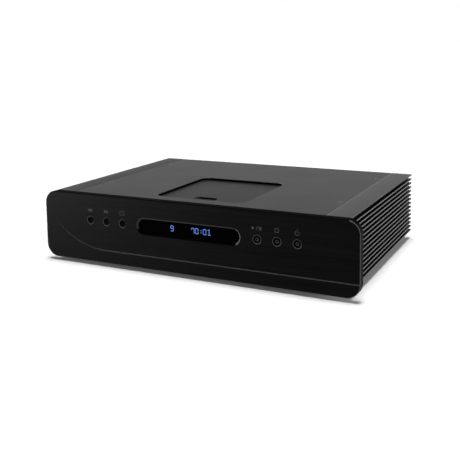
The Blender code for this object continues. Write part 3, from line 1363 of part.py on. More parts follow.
def make_transformer():
    """A ring core in its tape, held down by a wide washer."""
    centre = (TRANSFORMER_X, FRONT + TRANSFORMER_FROM_FRONT)
    low = FLOOR_SEAT
    high = low + TRANSFORMER_HEIGHT
    corners = (
        (TRANSFORMER_RADIUS - TRANSFORMER_ROUND, low + TRANSFORMER_ROUND, -1),
        (TRANSFORMER_RADIUS - TRANSFORMER_ROUND, high - TRANSFORMER_ROUND, 0),
        (TRANSFORMER_HOLE_RADIUS + TRANSFORMER_ROUND, high - TRANSFORMER_ROUND, 1),
        (TRANSFORMER_HOLE_RADIUS + TRANSFORMER_ROUND, low + TRANSFORMER_ROUND, 2),
    )
    profile = []
    for radius, level, quarter in corners:
        for step in range(TRANSFORMER_ROUND_STEPS + 1):
            angle = math.tau * (quarter + step / TRANSFORMER_ROUND_STEPS) / 4
            profile.append((radius + TRANSFORMER_ROUND * math.cos(angle),
                            level + TRANSFORMER_ROUND * math.sin(angle)))
    ring = turned_ring(profile, TRANSFORMER_SIDES, "Z", centre)
    piece("toroidal_transformer", ring, COPPER_TAPE, smooth=True)

    washer = high + CLEARANCE
    top = washer + BOLT_WASHER_THICKNESS
    bolt = [
        (BOLT_RADIUS, low),
        (BOLT_RADIUS, washer),
        (BOLT_WASHER_RADIUS, washer),
        (BOLT_WASHER_RADIUS, top),
        (BOLT_HEAD_RADIUS, top),
        (BOLT_HEAD_RADIUS, top + BOLT_HEAD_HEIGHT),
    ]
    piece("transformer_bolt", turned(bolt, HUB_SIDES, "Z", centre), BARE_STEEL, smooth=True)


def make_board(name, left, right, front, rear, blocks):
    """A circuit board on four standoffs, with the blocks that are soldered to it."""
    low = FLOOR_SEAT + STANDOFF_HEIGHT
    high = low + BOARD_THICKNESS
    board = piece(name, box(left, right, front, rear, low, high), GREEN_BOARD)
    inside = (low + high) / 2
    additions = []
    for x in (left + STANDOFF_INSET, right - STANDOFF_INSET):
        for y in (front + STANDOFF_INSET, rear - STANDOFF_INSET):
            profile = [(STANDOFF_RADIUS, FLOOR_SEAT), (STANDOFF_RADIUS, inside)]
            additions.append(turned(profile, POST_SIDES, "Z", (x, y)))
    for x, y, width, height in blocks:
        half = width / 2
        additions.append(box(x - half, x + half, y - half, y + half, inside, high + height))
    join(board, gathered(additions), "standoffs_and_blocks")


def make_electronics():
    """Two boards side by side: signals at the right, power at the left."""
    chip_y = (BOARD_FRONT + BOARD_REAR) / 2
    chips = []
    for number in range(CHIP_COUNT):
        x = BOARD_INNER + (BOARD_OUTER - BOARD_INNER) * (number + 1) / (CHIP_COUNT + 1)
        chips.append((x, chip_y, CHIP_WIDTH, CHIP_HEIGHT))
    make_board("main_board", BOARD_INNER, BOARD_OUTER, BOARD_FRONT, BOARD_REAR, chips)

    middle = -(BOARD_INNER + BOARD_OUTER) / 2
    rectifier = (middle, BOARD_REAR - BRIDGE_RECTIFIER_WIDTH, BRIDGE_RECTIFIER_WIDTH, BRIDGE_RECTIFIER_HEIGHT)
    make_board("power_supply_board", -BOARD_OUTER, -BOARD_INNER, BOARD_FRONT, BOARD_REAR, [rectifier])

    seat = FLOOR_SEAT + STANDOFF_HEIGHT + BOARD_THICKNESS + CLEARANCE
    top = seat + CAPACITOR_HEIGHT
    for number in range(CAPACITOR_COUNT):
        x = middle + CAPACITOR_PITCH * (number - (CAPACITOR_COUNT - 1) / 2)
        profile = [
            (CAPACITOR_RADIUS, seat),
            (CAPACITOR_RADIUS, top - CAPACITOR_EDGE),
            (CAPACITOR_RADIUS - CAPACITOR_EDGE, top),
        ]
        solid = turned(profile, CAPACITOR_SIDES, "Z", (x, FRONT + CAPACITOR_FROM_FRONT))
        piece(f"filter_capacitor_{number + 1}", solid, BLACK_PLASTIC, smooth=True)


def main():
    clear_scene()
    make_faceplate()
    make_display()
    for name, x in zip(BUTTON_NAMES, button_places()):
        make_button(name, x)
    make_front_board()
    make_heatsink("left_heatsink", -1)
    make_heatsink("right_heatsink", 1)
    make_top_cover()
    for side, side_name in ((-1, "left"), (1, "right")):
        make_lid_guide(side_name + "_lid_guide", side)
        for centre, end_name in zip(screw_places(side), ("front", "rear")):
            make_cover_screw(f"cover_screw_{end_name}_{side_name}", centre)
    make_disc_lid()
    make_disc_well()
    make_spindle()
    make_pickup_sled()
    make_objective_lens()
    make_gears()
    make_transport_deck()
    make_guide_rod("guide_rod_front", DISC_Y - ROD_OFFSET)
    make_guide_rod("guide_rod_rear", DISC_Y + ROD_OFFSET)
    for name, centre in damper_places().items():
        make_damper("damper_" + name, centre)
    make_transport_bridge()
    make_base_tray()
    make_feet()
    make_rear_panel()
    make_mains_inlet()
    make_power_switch()
    make_round_socket("analog_output_left", ANALOG_LEFT_X, BRASS)
    make_round_socket("analog_output_right", ANALOG_RIGHT_X, BRASS)
    make_round_socket("digital_output_coax", COAX_X, BRASS)
    make_optical_output()
    make_transformer()
    make_electronics()


main()
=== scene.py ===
"""Looks of a disc player whose lid slides back under its top cover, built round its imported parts.

Metres. +X is to the right as seen from the front, +Y runs from the front to the back, and +Z is up.
The short lists of points that cuts(), points() and set_at() take are in millimetres.
"""

import math

import bmesh
import bpy
from mathutils import Matrix, Vector


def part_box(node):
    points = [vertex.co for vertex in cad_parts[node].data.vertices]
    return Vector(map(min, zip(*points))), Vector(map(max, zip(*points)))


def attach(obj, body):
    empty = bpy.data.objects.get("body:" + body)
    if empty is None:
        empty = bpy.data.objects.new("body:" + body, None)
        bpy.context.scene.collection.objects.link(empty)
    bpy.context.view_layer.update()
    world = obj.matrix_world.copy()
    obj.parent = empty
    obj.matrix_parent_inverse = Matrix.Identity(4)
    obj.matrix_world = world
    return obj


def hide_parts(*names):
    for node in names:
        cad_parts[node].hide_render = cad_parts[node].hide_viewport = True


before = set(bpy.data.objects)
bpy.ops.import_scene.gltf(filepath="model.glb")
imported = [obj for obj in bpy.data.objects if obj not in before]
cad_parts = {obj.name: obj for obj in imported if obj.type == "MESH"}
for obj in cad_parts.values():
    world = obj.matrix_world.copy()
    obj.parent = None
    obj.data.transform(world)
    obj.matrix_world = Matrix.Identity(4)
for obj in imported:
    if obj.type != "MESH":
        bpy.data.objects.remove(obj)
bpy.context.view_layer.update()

SAME_POINT = 0.000001
SHARP = math.radians(32)
CLEARANCE = 0.0003

# Faceplate, its display slot and its groove
PLATE_CORNER = 0.017
PLATE_EDGE = 0.0008
SLOT_CHAMFER = 0.002
WINDOW_FLANGE = 0.0035
WINDOW_FLANGE_THICKNESS = 0.002
KEY_RADIUS = 0.0046
KEY_HOLE_CHAMFER = 0.0007
GROOVE_RISE = 0.017
GROOVE_SWEEP_RADIUS = 0.110
GROOVE_SWEEP_WIDTH = 0.098
GROOVE_HALF_WIDTH = 0.00065
GROOVE_DEPTH = 0.0008
MARK_THICKNESS = 0.00004
MARK_RISE = 0.0135

# Top cover, lid and screws
OPENING_CORNER = 0.012
OPENING_EDGE = 0.0005
COVER_EDGE = 0.0004
SCREW_HEAD_RADIUS = 0.0027
SCREW_SHANK_RADIUS = 0.0014
PULL_WIDTH = 0.030
PULL_LENGTH = 0.021
PULL_CORNER = 0.004
PULL_DRAFT = 0.0012
PULL_DEPTH = 0.0024
LID_SHARP = math.radians(9)

# Side extrusions
WALL = 0.006
FIN_PITCH = 0.0058
FIN_ROOT = 0.0028
FIN_TIP = 0.0022
FIN_NOSE = 0.0008
FINS = 14

# Inside and rear
TRAY_SHEET = 0.0015
BOARD_SHEET = 0.0017
LENS_SLOT = 0.0629
LABEL_ROW = 0.0535


# Shaders

class Value:
    """One output of a node, which works in plain expressions."""

    def __init__(self, nodes, socket):
        self.nodes = nodes
        self.socket = socket

    def maths(self, operation, *others):
        return self.nodes.node("ShaderNodeMath", {"operation": operation}, dict(enumerate((self, *others))))

    def __add__(self, other):
        return self.maths("ADD", other)

    def __mul__(self, other):
        return self.maths("MULTIPLY", other)

    def __sub__(self, other):
        return self.maths("SUBTRACT", other)

    def __truediv__(self, other):
        return self.maths("DIVIDE", other)

    def __rsub__(self, other):
        return self * -1 + other

    def __gt__(self, other):
        return self.maths("GREATER_THAN", other)

    def __lt__(self, other):
        return self.maths("LESS_THAN", other)

    __radd__ = __add__
    __rmul__ = __mul__


class Nodes:
    """A tree that is built node by node."""

    def __init__(self, tree):
        self.tree = tree

    def node(self, kind, settings=None, inputs=None, output=0):
        """Adds a node: its settings first, then the values or links of its sockets."""
        made = self.tree.nodes.new(kind)
        for name, value in (settings or {}).items():
            if name == "stops":
                self.colour_stops(made.color_ramp, value)
            else:
                setattr(made, name, value)
        for name, value in (inputs or {}).items():
            self.feed(made.inputs[name], value)
        return Value(self, made.outputs[output]) if made.outputs else None

    def feed(self, socket, value):
        if isinstance(value, Value):
            self.tree.links.new(value.socket, socket)
        else:
            socket.default_value = value

    def colour_stops(self, ramp, stops):
        while len(ramp.elements) < len(stops):
            ramp.elements.new(0.5)
        for element, (position, level) in zip(ramp.elements, stops):
            element.position = position
            element.color = colour(level)

    def split(self, vector):
        """The three coordinates of a vector, each on its own."""
        return [self.node("ShaderNodeSeparateXYZ", {}, {0: vector}, axis) for axis in "XYZ"]

    def seen_by(self, *rays):
        """1 for a ray of one of these kinds, and 0 for any other."""
        found = 0.0
        for ray in rays:
            found = self.node("ShaderNodeLightPath", output=f"Is {ray} Ray").maths("MAXIMUM", found)
        return found


class Finish(Nodes):
    """A material round one principled shader."""

    def __init__(self, name, specular=0.5, metallic=0.0, coat=0.0):
        self.material = bpy.data.materials.new(name)
        self.material.use_nodes = True
        super().__init__(self.material.node_tree)
        self.shader = self.tree.nodes["Principled BSDF"]
        self.set("Metallic", metallic)
        self.set("Specular IOR Level", specular)
        self.set("Coat Weight", coat)

    def set(self, name, value):
        self.feed(self.shader.inputs[name], value)

    def place(self, scale=(1, 1, 1), centre=(0, 0, 0)):
        """Object coordinates, measured from a centre and scaled along each axis."""
        coordinates = self.node("ShaderNodeTexCoord", output="Object")
        moved = self.node("ShaderNodeVectorMath", {"operation": "SUBTRACT"}, {0: coordinates, 1: centre})
        return self.node("ShaderNodeMapping", {}, {"Vector": moved, "Scale": scale})

    def noise(self, scale, stretch=(1, 1, 1), detail=3.0, roughness=0.5):
        inputs = {"Vector": self.place(stretch), "Scale": scale, "Detail": detail, "Roughness": roughness}
        return self.node("ShaderNodeTexNoise", {}, inputs)

    def ramp(self, value, *stops):
        return self.node("ShaderNodeValToRGB", {"stops": stops}, {"Fac": value})

    def mix(self, amount, first, second):
        """A colour between two others."""
        colours = {0: amount, 6: colour(first), 7: colour(second)}
        return self.node("ShaderNodeMix", {"data_type": "RGBA"}, colours, 2)

    def skin(self, cover, dark, light, roughness):
        """A colour between two others, and a roughness."""
        self.set("Base Color", self.mix(cover, dark, light))
        self.set("Roughness", roughness)

    def bump(self, height, distance, strength):
        inputs = {"Height": height, "Distance": distance, "Strength": strength}
        self.set("Normal", self.node("ShaderNodeBump", {}, inputs))


def colour(value):
    """A colour as a socket takes it, from a grey, three numbers or a node's output."""
    if isinstance(value, Value):
        return value
    return (value,) * 3 + (1,) if isinstance(value, (int, float)) else (*value, 1)


def brushed_black(name, dark, light, specular):
    """Black anodising over metal that was brushed from side to side."""
    finish = Finish(name, specular)
    strokes = finish.noise(1.0, (14, 1, 900), 5.0, 0.65)
    bands = finish.noise(1.0, (5, 1, 300))
    cover = finish.ramp(strokes * 0.55 + bands * 0.45, (0.36, 0), (0.64, 1))
    finish.skin(cover, dark, light, 0.36 + strokes * 0.14)
    finish.bump(strokes + bands * 0.4, 0.00003, 0.35)
    return finish.material


def blasted_black(name, specular, dark, light):
    """Black anodising over bead-blasted metal."""
    finish = Finish(name, specular)
    grain = finish.noise(2600.0, detail=2.0)
    cloud = finish.noise(14.0, detail=4.0)
    finish.skin(grain * 0.5 + cloud * 0.5, dark, light, 0.36 + grain * 0.12 + cloud * 0.08)
    finish.bump(grain, 0.00002, 0.5)
    return finish.material


def extruded_black(name, specular, dark, light):
    """Black anodising over an extrusion, with faint die lines along its length."""
    finish = Finish(name, specular)
    lines = finish.noise(1.0, (700, 3, 700))
    cloud = finish.noise(12.0)
    finish.skin(lines * 0.6 + cloud * 0.4, dark, light, 0.34 + lines * 0.10 + cloud * 0.06)
    finish.bump(lines, 0.000005, 0.1)
    return finish.material


def cut_edge(name, dark, light, specular):
    """An edge that was cut after brushing, and so is smoother than the faces beside it. Most of its copies, lighter
    and darker than such an edge, are painted highlight and painted shade.
    """
    finish = Finish(name, specular)
    lines = finish.noise(900.0, detail=2.0)
    finish.skin(lines, dark, light, 0.30 + lines * 0.12)
    return finish.material


def moulded(name, dark, light, roughness=0.42, grain_size=1900.0, depth=0.00002):
    """Moulded plastic with a fine spark-eroded grain."""
    finish = Finish(name, 0.4)
    grain = finish.noise(grain_size, detail=2.0)
    cloud = finish.noise(30.0)
    finish.skin(grain * 0.4 + cloud * 0.6, dark, light, roughness + grain * 0.12 - cloud * 0.06)
    finish.bump(grain, depth, 0.6)
    return finish.material


def painted_steel():
    """Black powder coat with the ripple of orange peel."""
    finish = Finish("black_powder_coat", 0.35)
    peel = finish.noise(750.0, detail=2.0)
    speckle = finish.noise(3800.0, detail=1.0)
    finish.skin(peel * 0.5 + speckle * 0.5, 0.012, 0.026, 0.42 + peel * 0.16)
    finish.bump(peel * 0.8 + speckle * 0.2, 0.00006, 0.6)
    return finish.material


def plated_steel():
    """Zinc plating with its crystals and fine rolling marks."""
    finish = Finish("zinc_plated_steel", metallic=1.0)
    crystals = finish.node("ShaderNodeTexVoronoi", {}, {"Vector": finish.place(), "Scale": 170.0}, "Color")
    tone = finish.node("ShaderNodeSeparateColor", {}, {0: crystals})
    rolled = finish.noise(1.0, (40, 1500, 1500), 2.0)
    finish.skin(tone * 0.6 + rolled * 0.4, (0.46, 0.47, 0.49), (0.66, 0.67, 0.70),
                0.24 + tone * 0.12 + rolled * 0.10)
    finish.bump(rolled, 0.00002, 0.3)
    return finish.material


def polished(name, dark, light, roughness=0.16):
    """Turned and plated metal with the faint rings of the tool."""
    finish = Finish(name, metallic=1.0)
    rings = finish.noise(1.0, (120, 5200, 120), 2.0)
    stain = finish.noise(160.0, detail=4.0)
    finish.skin(stain, dark, light, roughness + stain * 0.14 + rings * 0.05)
    finish.bump(rings, 0.00001, 0.3)
    return finish.material


def rubber():
    """Matt rubber with a bloom of dust."""
    finish = Finish("black_rubber", 0.3)
    pores = finish.noise(1300.0)
    bloom = finish.ramp(finish.noise(60.0, detail=5.0), (0.45, 0), (0.75, 1))
    finish.skin(bloom, 0.009, 0.024, 0.72 + pores * 0.18)
    finish.bump(pores, 0.00005, 0.5)
    return finish.material


def smoked_window():
    """Nearly black acrylic with a polished face and a few faint wiping marks."""
    finish = Finish("smoked_acrylic", 0.004)
    wiped = finish.noise(1.0, (30, 1, 260), 4.0)
    finish.skin(wiped, 0.0001, 0.0006, finish.ramp(wiped, (0.3, 0.05), (0.8, 0.12)))
    return finish.material


def lit_segments():
    """Fluorescent segments, brighter along the middle of each stroke."""
    finish = Finish("lit_segments", 0.2)
    mesh_dots = finish.noise(2600.0, detail=1.0)
    glow = finish.noise(420.0)
    finish.skin(glow, (0.01, 0.03, 0.10), (0.02, 0.06, 0.18), 0.5)
    finish.set("Emission Color", finish.mix(mesh_dots * 0.4 + glow * 0.6, (0.04, 0.12, 0.48), (0.13, 0.26, 0.76)))
    finish.set("Emission Strength", 1.0)
    return finish.material


def engraved_mark(name, dark, light):
    """A mark left by a laser in the anodising."""
    finish = Finish(name, 0.2)
    grain = finish.noise(5200.0, detail=1.0)
    finish.skin(grain, dark, light, 0.5 + grain * 0.2)
    return finish.material


def circuit_board(name, low, high, turned_up=True):
    """Green mask over copper tracks. Parts that stand above or below the sheet take their own colour."""
    finish = Finish(name)
    across, y, z = finish.split(finish.place())
    along, level = (y, z) if turned_up else (z, y)
    cells = finish.node("ShaderNodeTexVoronoi", {"distance": "CHEBYCHEV", "feature": "F2"},
                        {"Vector": finish.place(), "Scale": 210.0})
    tracks = finish.ramp(cells, (0.46, 0), (0.50, 1), (0.58, 1), (0.62, 0))
    pad_pitch = 392.7
    pads = (across * pad_pitch).maths("SINE") * (along * pad_pitch).maths("SINE") > 0.985
    mask = finish.mix(tracks, (0.008, 0.075, 0.035), (0.020, 0.150, 0.070))
    sheet = finish.mix(pads, mask, (0.62, 0.62, 0.58))
    above, beyond = (level > high, level < low) if turned_up else (level < low, level > high)
    finish.skin(beyond, finish.mix(above, sheet, 0.016), (0.52, 0.44, 0.24), 0.30 + finish.noise(900.0) * 0.2)
    finish.bump(tracks + pads * 2.0, 0.00008, 0.5)
    return finish.material


def wound_core(centre):
    """Copper winding under overlapping turns of clear tape."""
    finish = Finish("taped_winding", coat=0.25)
    x, y, z = finish.split(finish.place(centre=centre))
    angle = y.maths("ARCTAN2", x)
    wire = (angle * 190.0 + z * 500.0).maths("SINE") * 0.5 + 0.5
    tape = (angle * 5.0929 + z * 9.0).maths("FRACT")
    edge = finish.ramp(tape, (0.0, 1), (0.05, 0), (0.95, 0), (1.0, 1))
    copper = finish.mix(wire, (0.20, 0.055, 0.018), (0.62, 0.24, 0.09))
    finish.skin(edge, copper, (0.30, 0.16, 0.09), 0.24 + wire * 0.16 + edge * 0.2)
    finish.bump(wire + edge, 0.00015, 0.7)
    return finish.material


def capacitor_sleeve(name, centre, top):
    """A black shrink sleeve with a pale stripe, and the scored bare top of the can."""
    finish = Finish(name)
    x, y, z = finish.split(finish.place(centre=centre))
    angle = y.maths("ARCTAN2", x)
    stripe = (angle > 1.2) * (angle < 1.75)
    sleeve = finish.mix(stripe, (0.012, 0.013, 0.020), (0.36, 0.37, 0.39))
    score = x.maths("ABSOLUTE").maths("MINIMUM", y.maths("ABSOLUTE"))
    can = finish.mix(score < 0.0004, (0.60, 0.61, 0.62), (0.16, 0.16, 0.17))
    finish.skin(z > top, sleeve, can, 0.32 + finish.noise(240.0) * 0.14)
    finish.set("Metallic", (z > top) * 0.9)
    return finish.material


def coated_lens(centre):
    """A lens with a violet coating, in its black holder."""
    finish = Finish("coated_lens", 0.6, coat=0.6)
    x, y, _ = finish.split(finish.place(centre=centre))
    radius = (x * x + y * y).maths("SQRT")
    glass = radius < 0.0029
    tint = finish.mix(radius * 345.0, (0.16, 0.10, 0.42), (0.04, 0.16, 0.34))
    finish.skin(glass, 0.012, tint, 0.5 - glass * 0.44 + finish.noise(900.0) * 0.04)
    return finish.material


# Shapes

def place(axis, across, up, along):
    """The point of an outline that lies so far along an axis."""
    return Vector((across, along, up) if axis == "Y" else (across, up, along))


def raised(axis, outline, level):
    """An outline as points in space, at a level of an axis."""
    return [place(axis, point.x, point.y, level) for point in outline]


def points(*pairs, centre=(0, 0)):
    """Points of an outline, in millimetres beside and above a centre."""
    return [Vector((centre[0] + across / 1000, centre[1] + up / 1000)) for across, up in pairs]


def cuts(level, *pairs):
    """Steps of a turned profile: a radius and a place from a level, in millimetres."""
    return [(radius / 1000, level + along / 1000) for radius, along in pairs]


def middle_of(name):
    low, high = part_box(name)
    return (low + high) / 2


def at_corners(name):
    """The names of four nodes of one kind."""
    return [f"{name}_{end}_{side}" for end in ("front", "rear") for side in ("left", "right")]


def circle(radius, sides, centre=(0, 0)):
    angles = [math.tau * side / sides for side in range(sides)]
    return [Vector((centre[0] + radius * math.cos(a), centre[1] + radius * math.sin(a))) for a in angles]


def rectangle(left, right, low, high):
    return [Vector((left, low)), Vector((right, low)), Vector((right, high)), Vector((left, high))]


def rounded(width, height, radius, steps, centre=(0, 0)):
    """A rectangle with arcs for corners."""
    outline = []
    for quarter in range(4):
        towards = math.tau * (quarter + 1 / 2) / 4
        middle = Vector((centre[0] + math.copysign(width / 2 - radius, math.cos(towards)),
                         centre[1] + math.copysign(height / 2 - radius, math.sin(towards))))
        for step in range(steps + 1):
            angle = math.tau * (quarter + step / steps) / 4
            point = middle + radius * Vector((math.cos(angle), math.sin(angle)))
            if not outline or (point - outline[-1]).length > SAME_POINT:
                outline.append(point)
    if (outline[-1] - outline[0]).length < SAME_POINT:
        outline.pop()
    return outline


def lofted(rings, closed_on_itself=False):
    """A solid through rings of equally many points."""
    bm = bmesh.new()
    loops = [[bm.verts.new(point) for point in ring] for ring in rings]
    pairs = list(zip(loops, loops[1:]))
    if closed_on_itself:
        pairs.append((loops[-1], loops[0]))
    for lower, upper in pairs:
        for index in range(len(lower)):
            bm.faces.new((lower[index - 1], lower[index], upper[index], upper[index - 1]))
    if not closed_on_itself:
        bm.faces.new(loops[0])
        bm.faces.new(loops[-1])
    bmesh.ops.recalc_face_normals(bm, faces=bm.faces)
    return bm


def turned(profile, sides, axis="Z", centre=(0, 0), ring=False):
    """A shape turned about an axis, from (radius, place along the axis) pairs."""
    return lofted([raised(axis, circle(radius, sides, centre), along) for radius, along in profile], ring)


def extruded(outline, low, high, axis="Z", holes=()):
    """A plate between two levels of an axis, with holes right through it."""
    bm = bmesh.new()
    loop_number = bm.verts.layers.int.new("loop_number")
    edges = []
    for number, loop in enumerate((outline, *holes)):
        verts = [bm.verts.new(point) for point in raised(axis, loop, low)]
        for vert in verts:
            vert[loop_number] = number
        edges += [bm.edges.new((verts[index - 1], verts[index])) for index in range(len(verts))]
    if holes:
        bmesh.ops.triangle_fill(bm, use_beauty=True, use_dissolve=False, edges=edges)
    else:
        bm.faces.new(verts)
    grown_part = bmesh.ops.extrude_face_region(bm, geom=list(bm.faces))["geom"]
    copies = [item for item in grown_part if isinstance(item, bmesh.types.BMVert)]
    bmesh.ops.translate(bm, vec=place(axis, 0, 0, high - low), verts=copies)
    bmesh.ops.recalc_face_normals(bm, faces=bm.faces)
    return bm


def modified(thing, kind, tools=(), **settings):
    """The object with one modifier turned into plain mesh, and its tools removed."""
    modifier = thing.modifiers.new("step", kind)
    for name, value in settings.items():
        setattr(modifier, name, value)
    return with_modifiers(thing, tools)


def chamfered_plate(name, axis, low, high, level, outline, holes, widths):
    """A plate with a chamfer at one level round its outline and each hole, each of its own width."""
    solid = extruded(outline, low, high, axis, holes)
    index = "XYZ".index(axis)
    loop_number = solid.verts.layers.int["loop_number"]
    weight = solid.edges.layers.float.new("bevel_weight_edge")
    for edge in solid.edges:
        first, second = edge.verts
        at_level = all(abs(vert.co[index] - level) < SAME_POINT for vert in edge.verts)
        if at_level and first[loop_number] == second[loop_number] and edge.calc_face_angle() > SHARP:
            edge[weight] = widths[first[loop_number]] / max(widths)
    return modified(loose_object(name, solid), "BEVEL", limit_method="WEIGHT", width=max(widths), segments=1,
                    use_clamp_overlap=False, loop_slide=False)


def gathered(solids):
    """One mesh that holds several solids."""
    whole = bmesh.new()
    for solid in solids:
        part = bpy.data.meshes.new("part")
        solid.to_mesh(part)
        solid.free()
        whole.from_mesh(part)
        bpy.data.meshes.remove(part)
    return whole


def new_object(name, data):
    thing = bpy.data.objects.new(name, data)
    bpy.context.scene.collection.objects.link(thing)
    return thing


def loose_object(name, solid):
    mesh = bpy.data.meshes.new(name)
    solid.to_mesh(mesh)
    solid.free()
    return new_object(name, mesh)


def plain_mesh(thing):
    """The mesh that an object shows once its modifiers or its letters are worked out."""
    graph = bpy.context.evaluated_depsgraph_get()
    return bpy.data.meshes.new_from_object(thing.evaluated_get(graph), depsgraph=graph)


def with_modifiers(thing, tools=()):
    """The object with its modifiers turned into plain mesh, and its tools removed."""
    mesh = plain_mesh(thing)
    thing.modifiers.clear()
    thing.data = mesh
    for tool in tools:
        bpy.data.objects.remove(tool)
    return thing


def combined(thing, solid, operation="DIFFERENCE", solver="EXACT"):
    """The object with a solid cut from it or joined to it."""
    bmesh.ops.triangulate(solid, faces=solid.faces)
    tool = loose_object("tool", solid)
    return modified(thing, "BOOLEAN", [tool], operation=operation, solver=solver, object=tool)


def dressed(thing, body, materials, replaced=(), rule=None, sharp=SHARP):
    """A finished piece: smooth where it is round, in its materials, on its body."""
    mesh = thing.data
    mesh.materials.clear()
    for material in materials:
        mesh.materials.append(material)
    if rule:
        for face in mesh.polygons:
            face.material_index = rule(face)
    mesh.shade_smooth()
    mesh.set_sharp_from_angle(angle=sharp)
    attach(thing, body)
    if replaced:
        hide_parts(*replaced)


def add_piece(name, solid, body, material, replaced=()):
    dressed(loose_object(name, solid), body, [material], replaced)


# Geometry Nodes

class Recipe(Nodes):
    """A Geometry Nodes tree with named inputs."""

    def __init__(self, name, **inputs):
        super().__init__(bpy.data.node_groups.new(name, "GeometryNodeTree"))
        self.identifiers = {}
        for label, kind in {"Geometry": "Geometry", **inputs, "Material": "Material"}.items():
            self.identifiers[label] = self.add_socket(label.replace("_", " "), "INPUT", kind).identifier
        self.add_socket("Geometry", "OUTPUT", "Geometry")
        self.given = self.tree.nodes.new("NodeGroupInput")

    def add_socket(self, label, direction, kind):
        return self.tree.interface.new_socket(name=label, in_out=direction, socket_type="NodeSocket" + kind)

    def input(self, label):
        return Value(self, self.given.outputs[label])

    def inputs(self, *labels):
        return [self.input(label) for label in labels]

    def step(self, kind, settings=None, output=0, **inputs):
        """Adds a node of geometry, with its sockets given by name."""
        named = {label.replace("_", " "): value for label, value in inputs.items()}
        return self.node("GeometryNode" + kind, settings, named, output)

    def vector(self, **parts):
        return self.node("ShaderNodeCombineXYZ", {}, parts)

    def finish(self, geometry):
        """Ends in real geometry that has its material."""
        real = self.step("RealizeInstances", Geometry=geometry)
        self.node("NodeGroupOutput", {}, {0: self.step("SetMaterial", Geometry=real, Material=self.input("Material"))})
        return self


def grown(name, start, recipe, tools=(), **values):
    """An object that holds the plain mesh which a recipe makes of a starting mesh."""
    thing = new_object(name, start)
    modifier = thing.modifiers.new("recipe", "NODES")
    modifier.node_group = recipe.tree
    for label, value in values.items():
        modifier[recipe.identifiers[label]] = value
    return with_modifiers(thing, tools)


def mesh_of_points(points):
    mesh = bpy.data.meshes.new("points")
    mesh.from_pydata(points, [], [])
    return mesh


def fin_recipe():
    """Fins one above another, tapered towards a round nose."""
    recipe = Recipe("cooling_fins", Fins="Int", Pitch="Float", Reach="Float", Root="Float", Tip="Float",
                    Nose="Float", Length="Float", Start="Vector")
    reach, root, tip, nose = recipe.inputs("Reach", "Root", "Tip", "Nose")
    outline = recipe.step("CurvePrimitiveQuadrilateral", Width=reach, Height=root)
    nosed = recipe.step("FilletCurve", {"mode": "POLY"}, Curve=outline, Radius=nose, Count=4)
    line = recipe.step("CurvePrimitiveLine", End=recipe.vector(Z=recipe.input("Length")))
    fin = recipe.step("CurveToMesh", Curve=line, Profile_Curve=nosed, Fill_Caps=True)
    x, y, z = recipe.split(recipe.step("InputPosition"))
    # The thickness left at x, which goes from the root to the tip
    left = recipe.node("ShaderNodeMapRange", {}, {"Value": x, 1: reach * -0.5, 2: reach * 0.5, 3: 1.0, 4: tip / root})
    # The outline was drawn lying down. It stands up with its length along Y.
    shaped = recipe.step("SetPosition", Geometry=fin, Position=recipe.vector(X=x, Y=z, Z=y * left))
    stack = recipe.step("MeshLine", Count=recipe.input("Fins"), Start_Location=recipe.input("Start"),
                        Offset=recipe.vector(Z=recipe.input("Pitch")))
    outward = recipe.step("FlipFaces", Mesh=shaped)
    return recipe.finish(recipe.step("InstanceOnPoints", Points=stack, Instance=outward))


def set_out_recipe():
    """Copies of one piece on given points, each turned about one axis by its own angle."""
    recipe = Recipe("set_out", Piece="Object", Axis="Vector", Most_Turn="Float", Seed="Int")
    piece = recipe.step("ObjectInfo", {"transform_space": "ORIGINAL"}, "Geometry", Object=recipe.input("Piece"))
    most, seed = recipe.inputs("Most Turn", "Seed")
    turn = recipe.node("FunctionNodeRandomValue", {"data_type": "FLOAT"}, {2: 0.0, 3: most, "Seed": seed}, 1)
    rotation = recipe.node("FunctionNodeAxisAngleToRotation", {}, {"Axis": recipe.input("Axis"), "Angle": turn})
    spots = recipe.step("MeshToPoints", Mesh=recipe.input("Geometry"))
    return recipe.finish(recipe.step("InstanceOnPoints", Points=spots, Instance=piece, Rotation=rotation))


def ridge_recipe():
    """Ridges round a rim, one after another."""
    recipe = Recipe("knurled_rim", Ridges="Int", Radius="Float", Depth="Float", Height="Float", Centre="Vector")
    depth, height = recipe.inputs("Depth", "Height")
    ridge = recipe.step("MeshCone", {"fill_type": "NGON"}, Vertices=4, Radius_Top=depth, Radius_Bottom=depth,
                        Depth=height)
    rim = recipe.step("CurvePrimitiveCircle", Resolution=recipe.input("Ridges"), Radius=recipe.input("Radius"))
    ridges = recipe.step("InstanceOnPoints", Points=rim, Instance=ridge)
    return recipe.finish(recipe.step("Transform", Geometry=ridges, Translation=recipe.input("Centre")))


def set_out(name, solid, spots, recipe, material, axis=(0.0, 0.0, 1.0), most_turn=0.0, seed=1):
    """Copies of a solid on given points, as one object."""
    piece = loose_object("piece", solid)
    return grown(name, mesh_of_points(spots), recipe, [piece], Piece=piece, Axis=axis, Most_Turn=most_turn,
                 Seed=seed, Material=material)


# Faceplate and what shows in it

plate_low, plate_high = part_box("faceplate")
window_low, window_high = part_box("display_window")
FRONT = plate_low.y
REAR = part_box("rear_panel")[1].y
KEYS = ("previous", "next", "repeat", "play_pause", "stop", "standby")
slot_length = window_high.x - window_low.x - 2 * WINDOW_FLANGE
slot_height = window_high.z - window_low.z - 2 * WINDOW_FLANGE
slot_centre = (0, (window_low.z + window_high.z) / 2)
KEY_CENTRES = {name: middle_of("button_" + name).xz for name in KEYS}


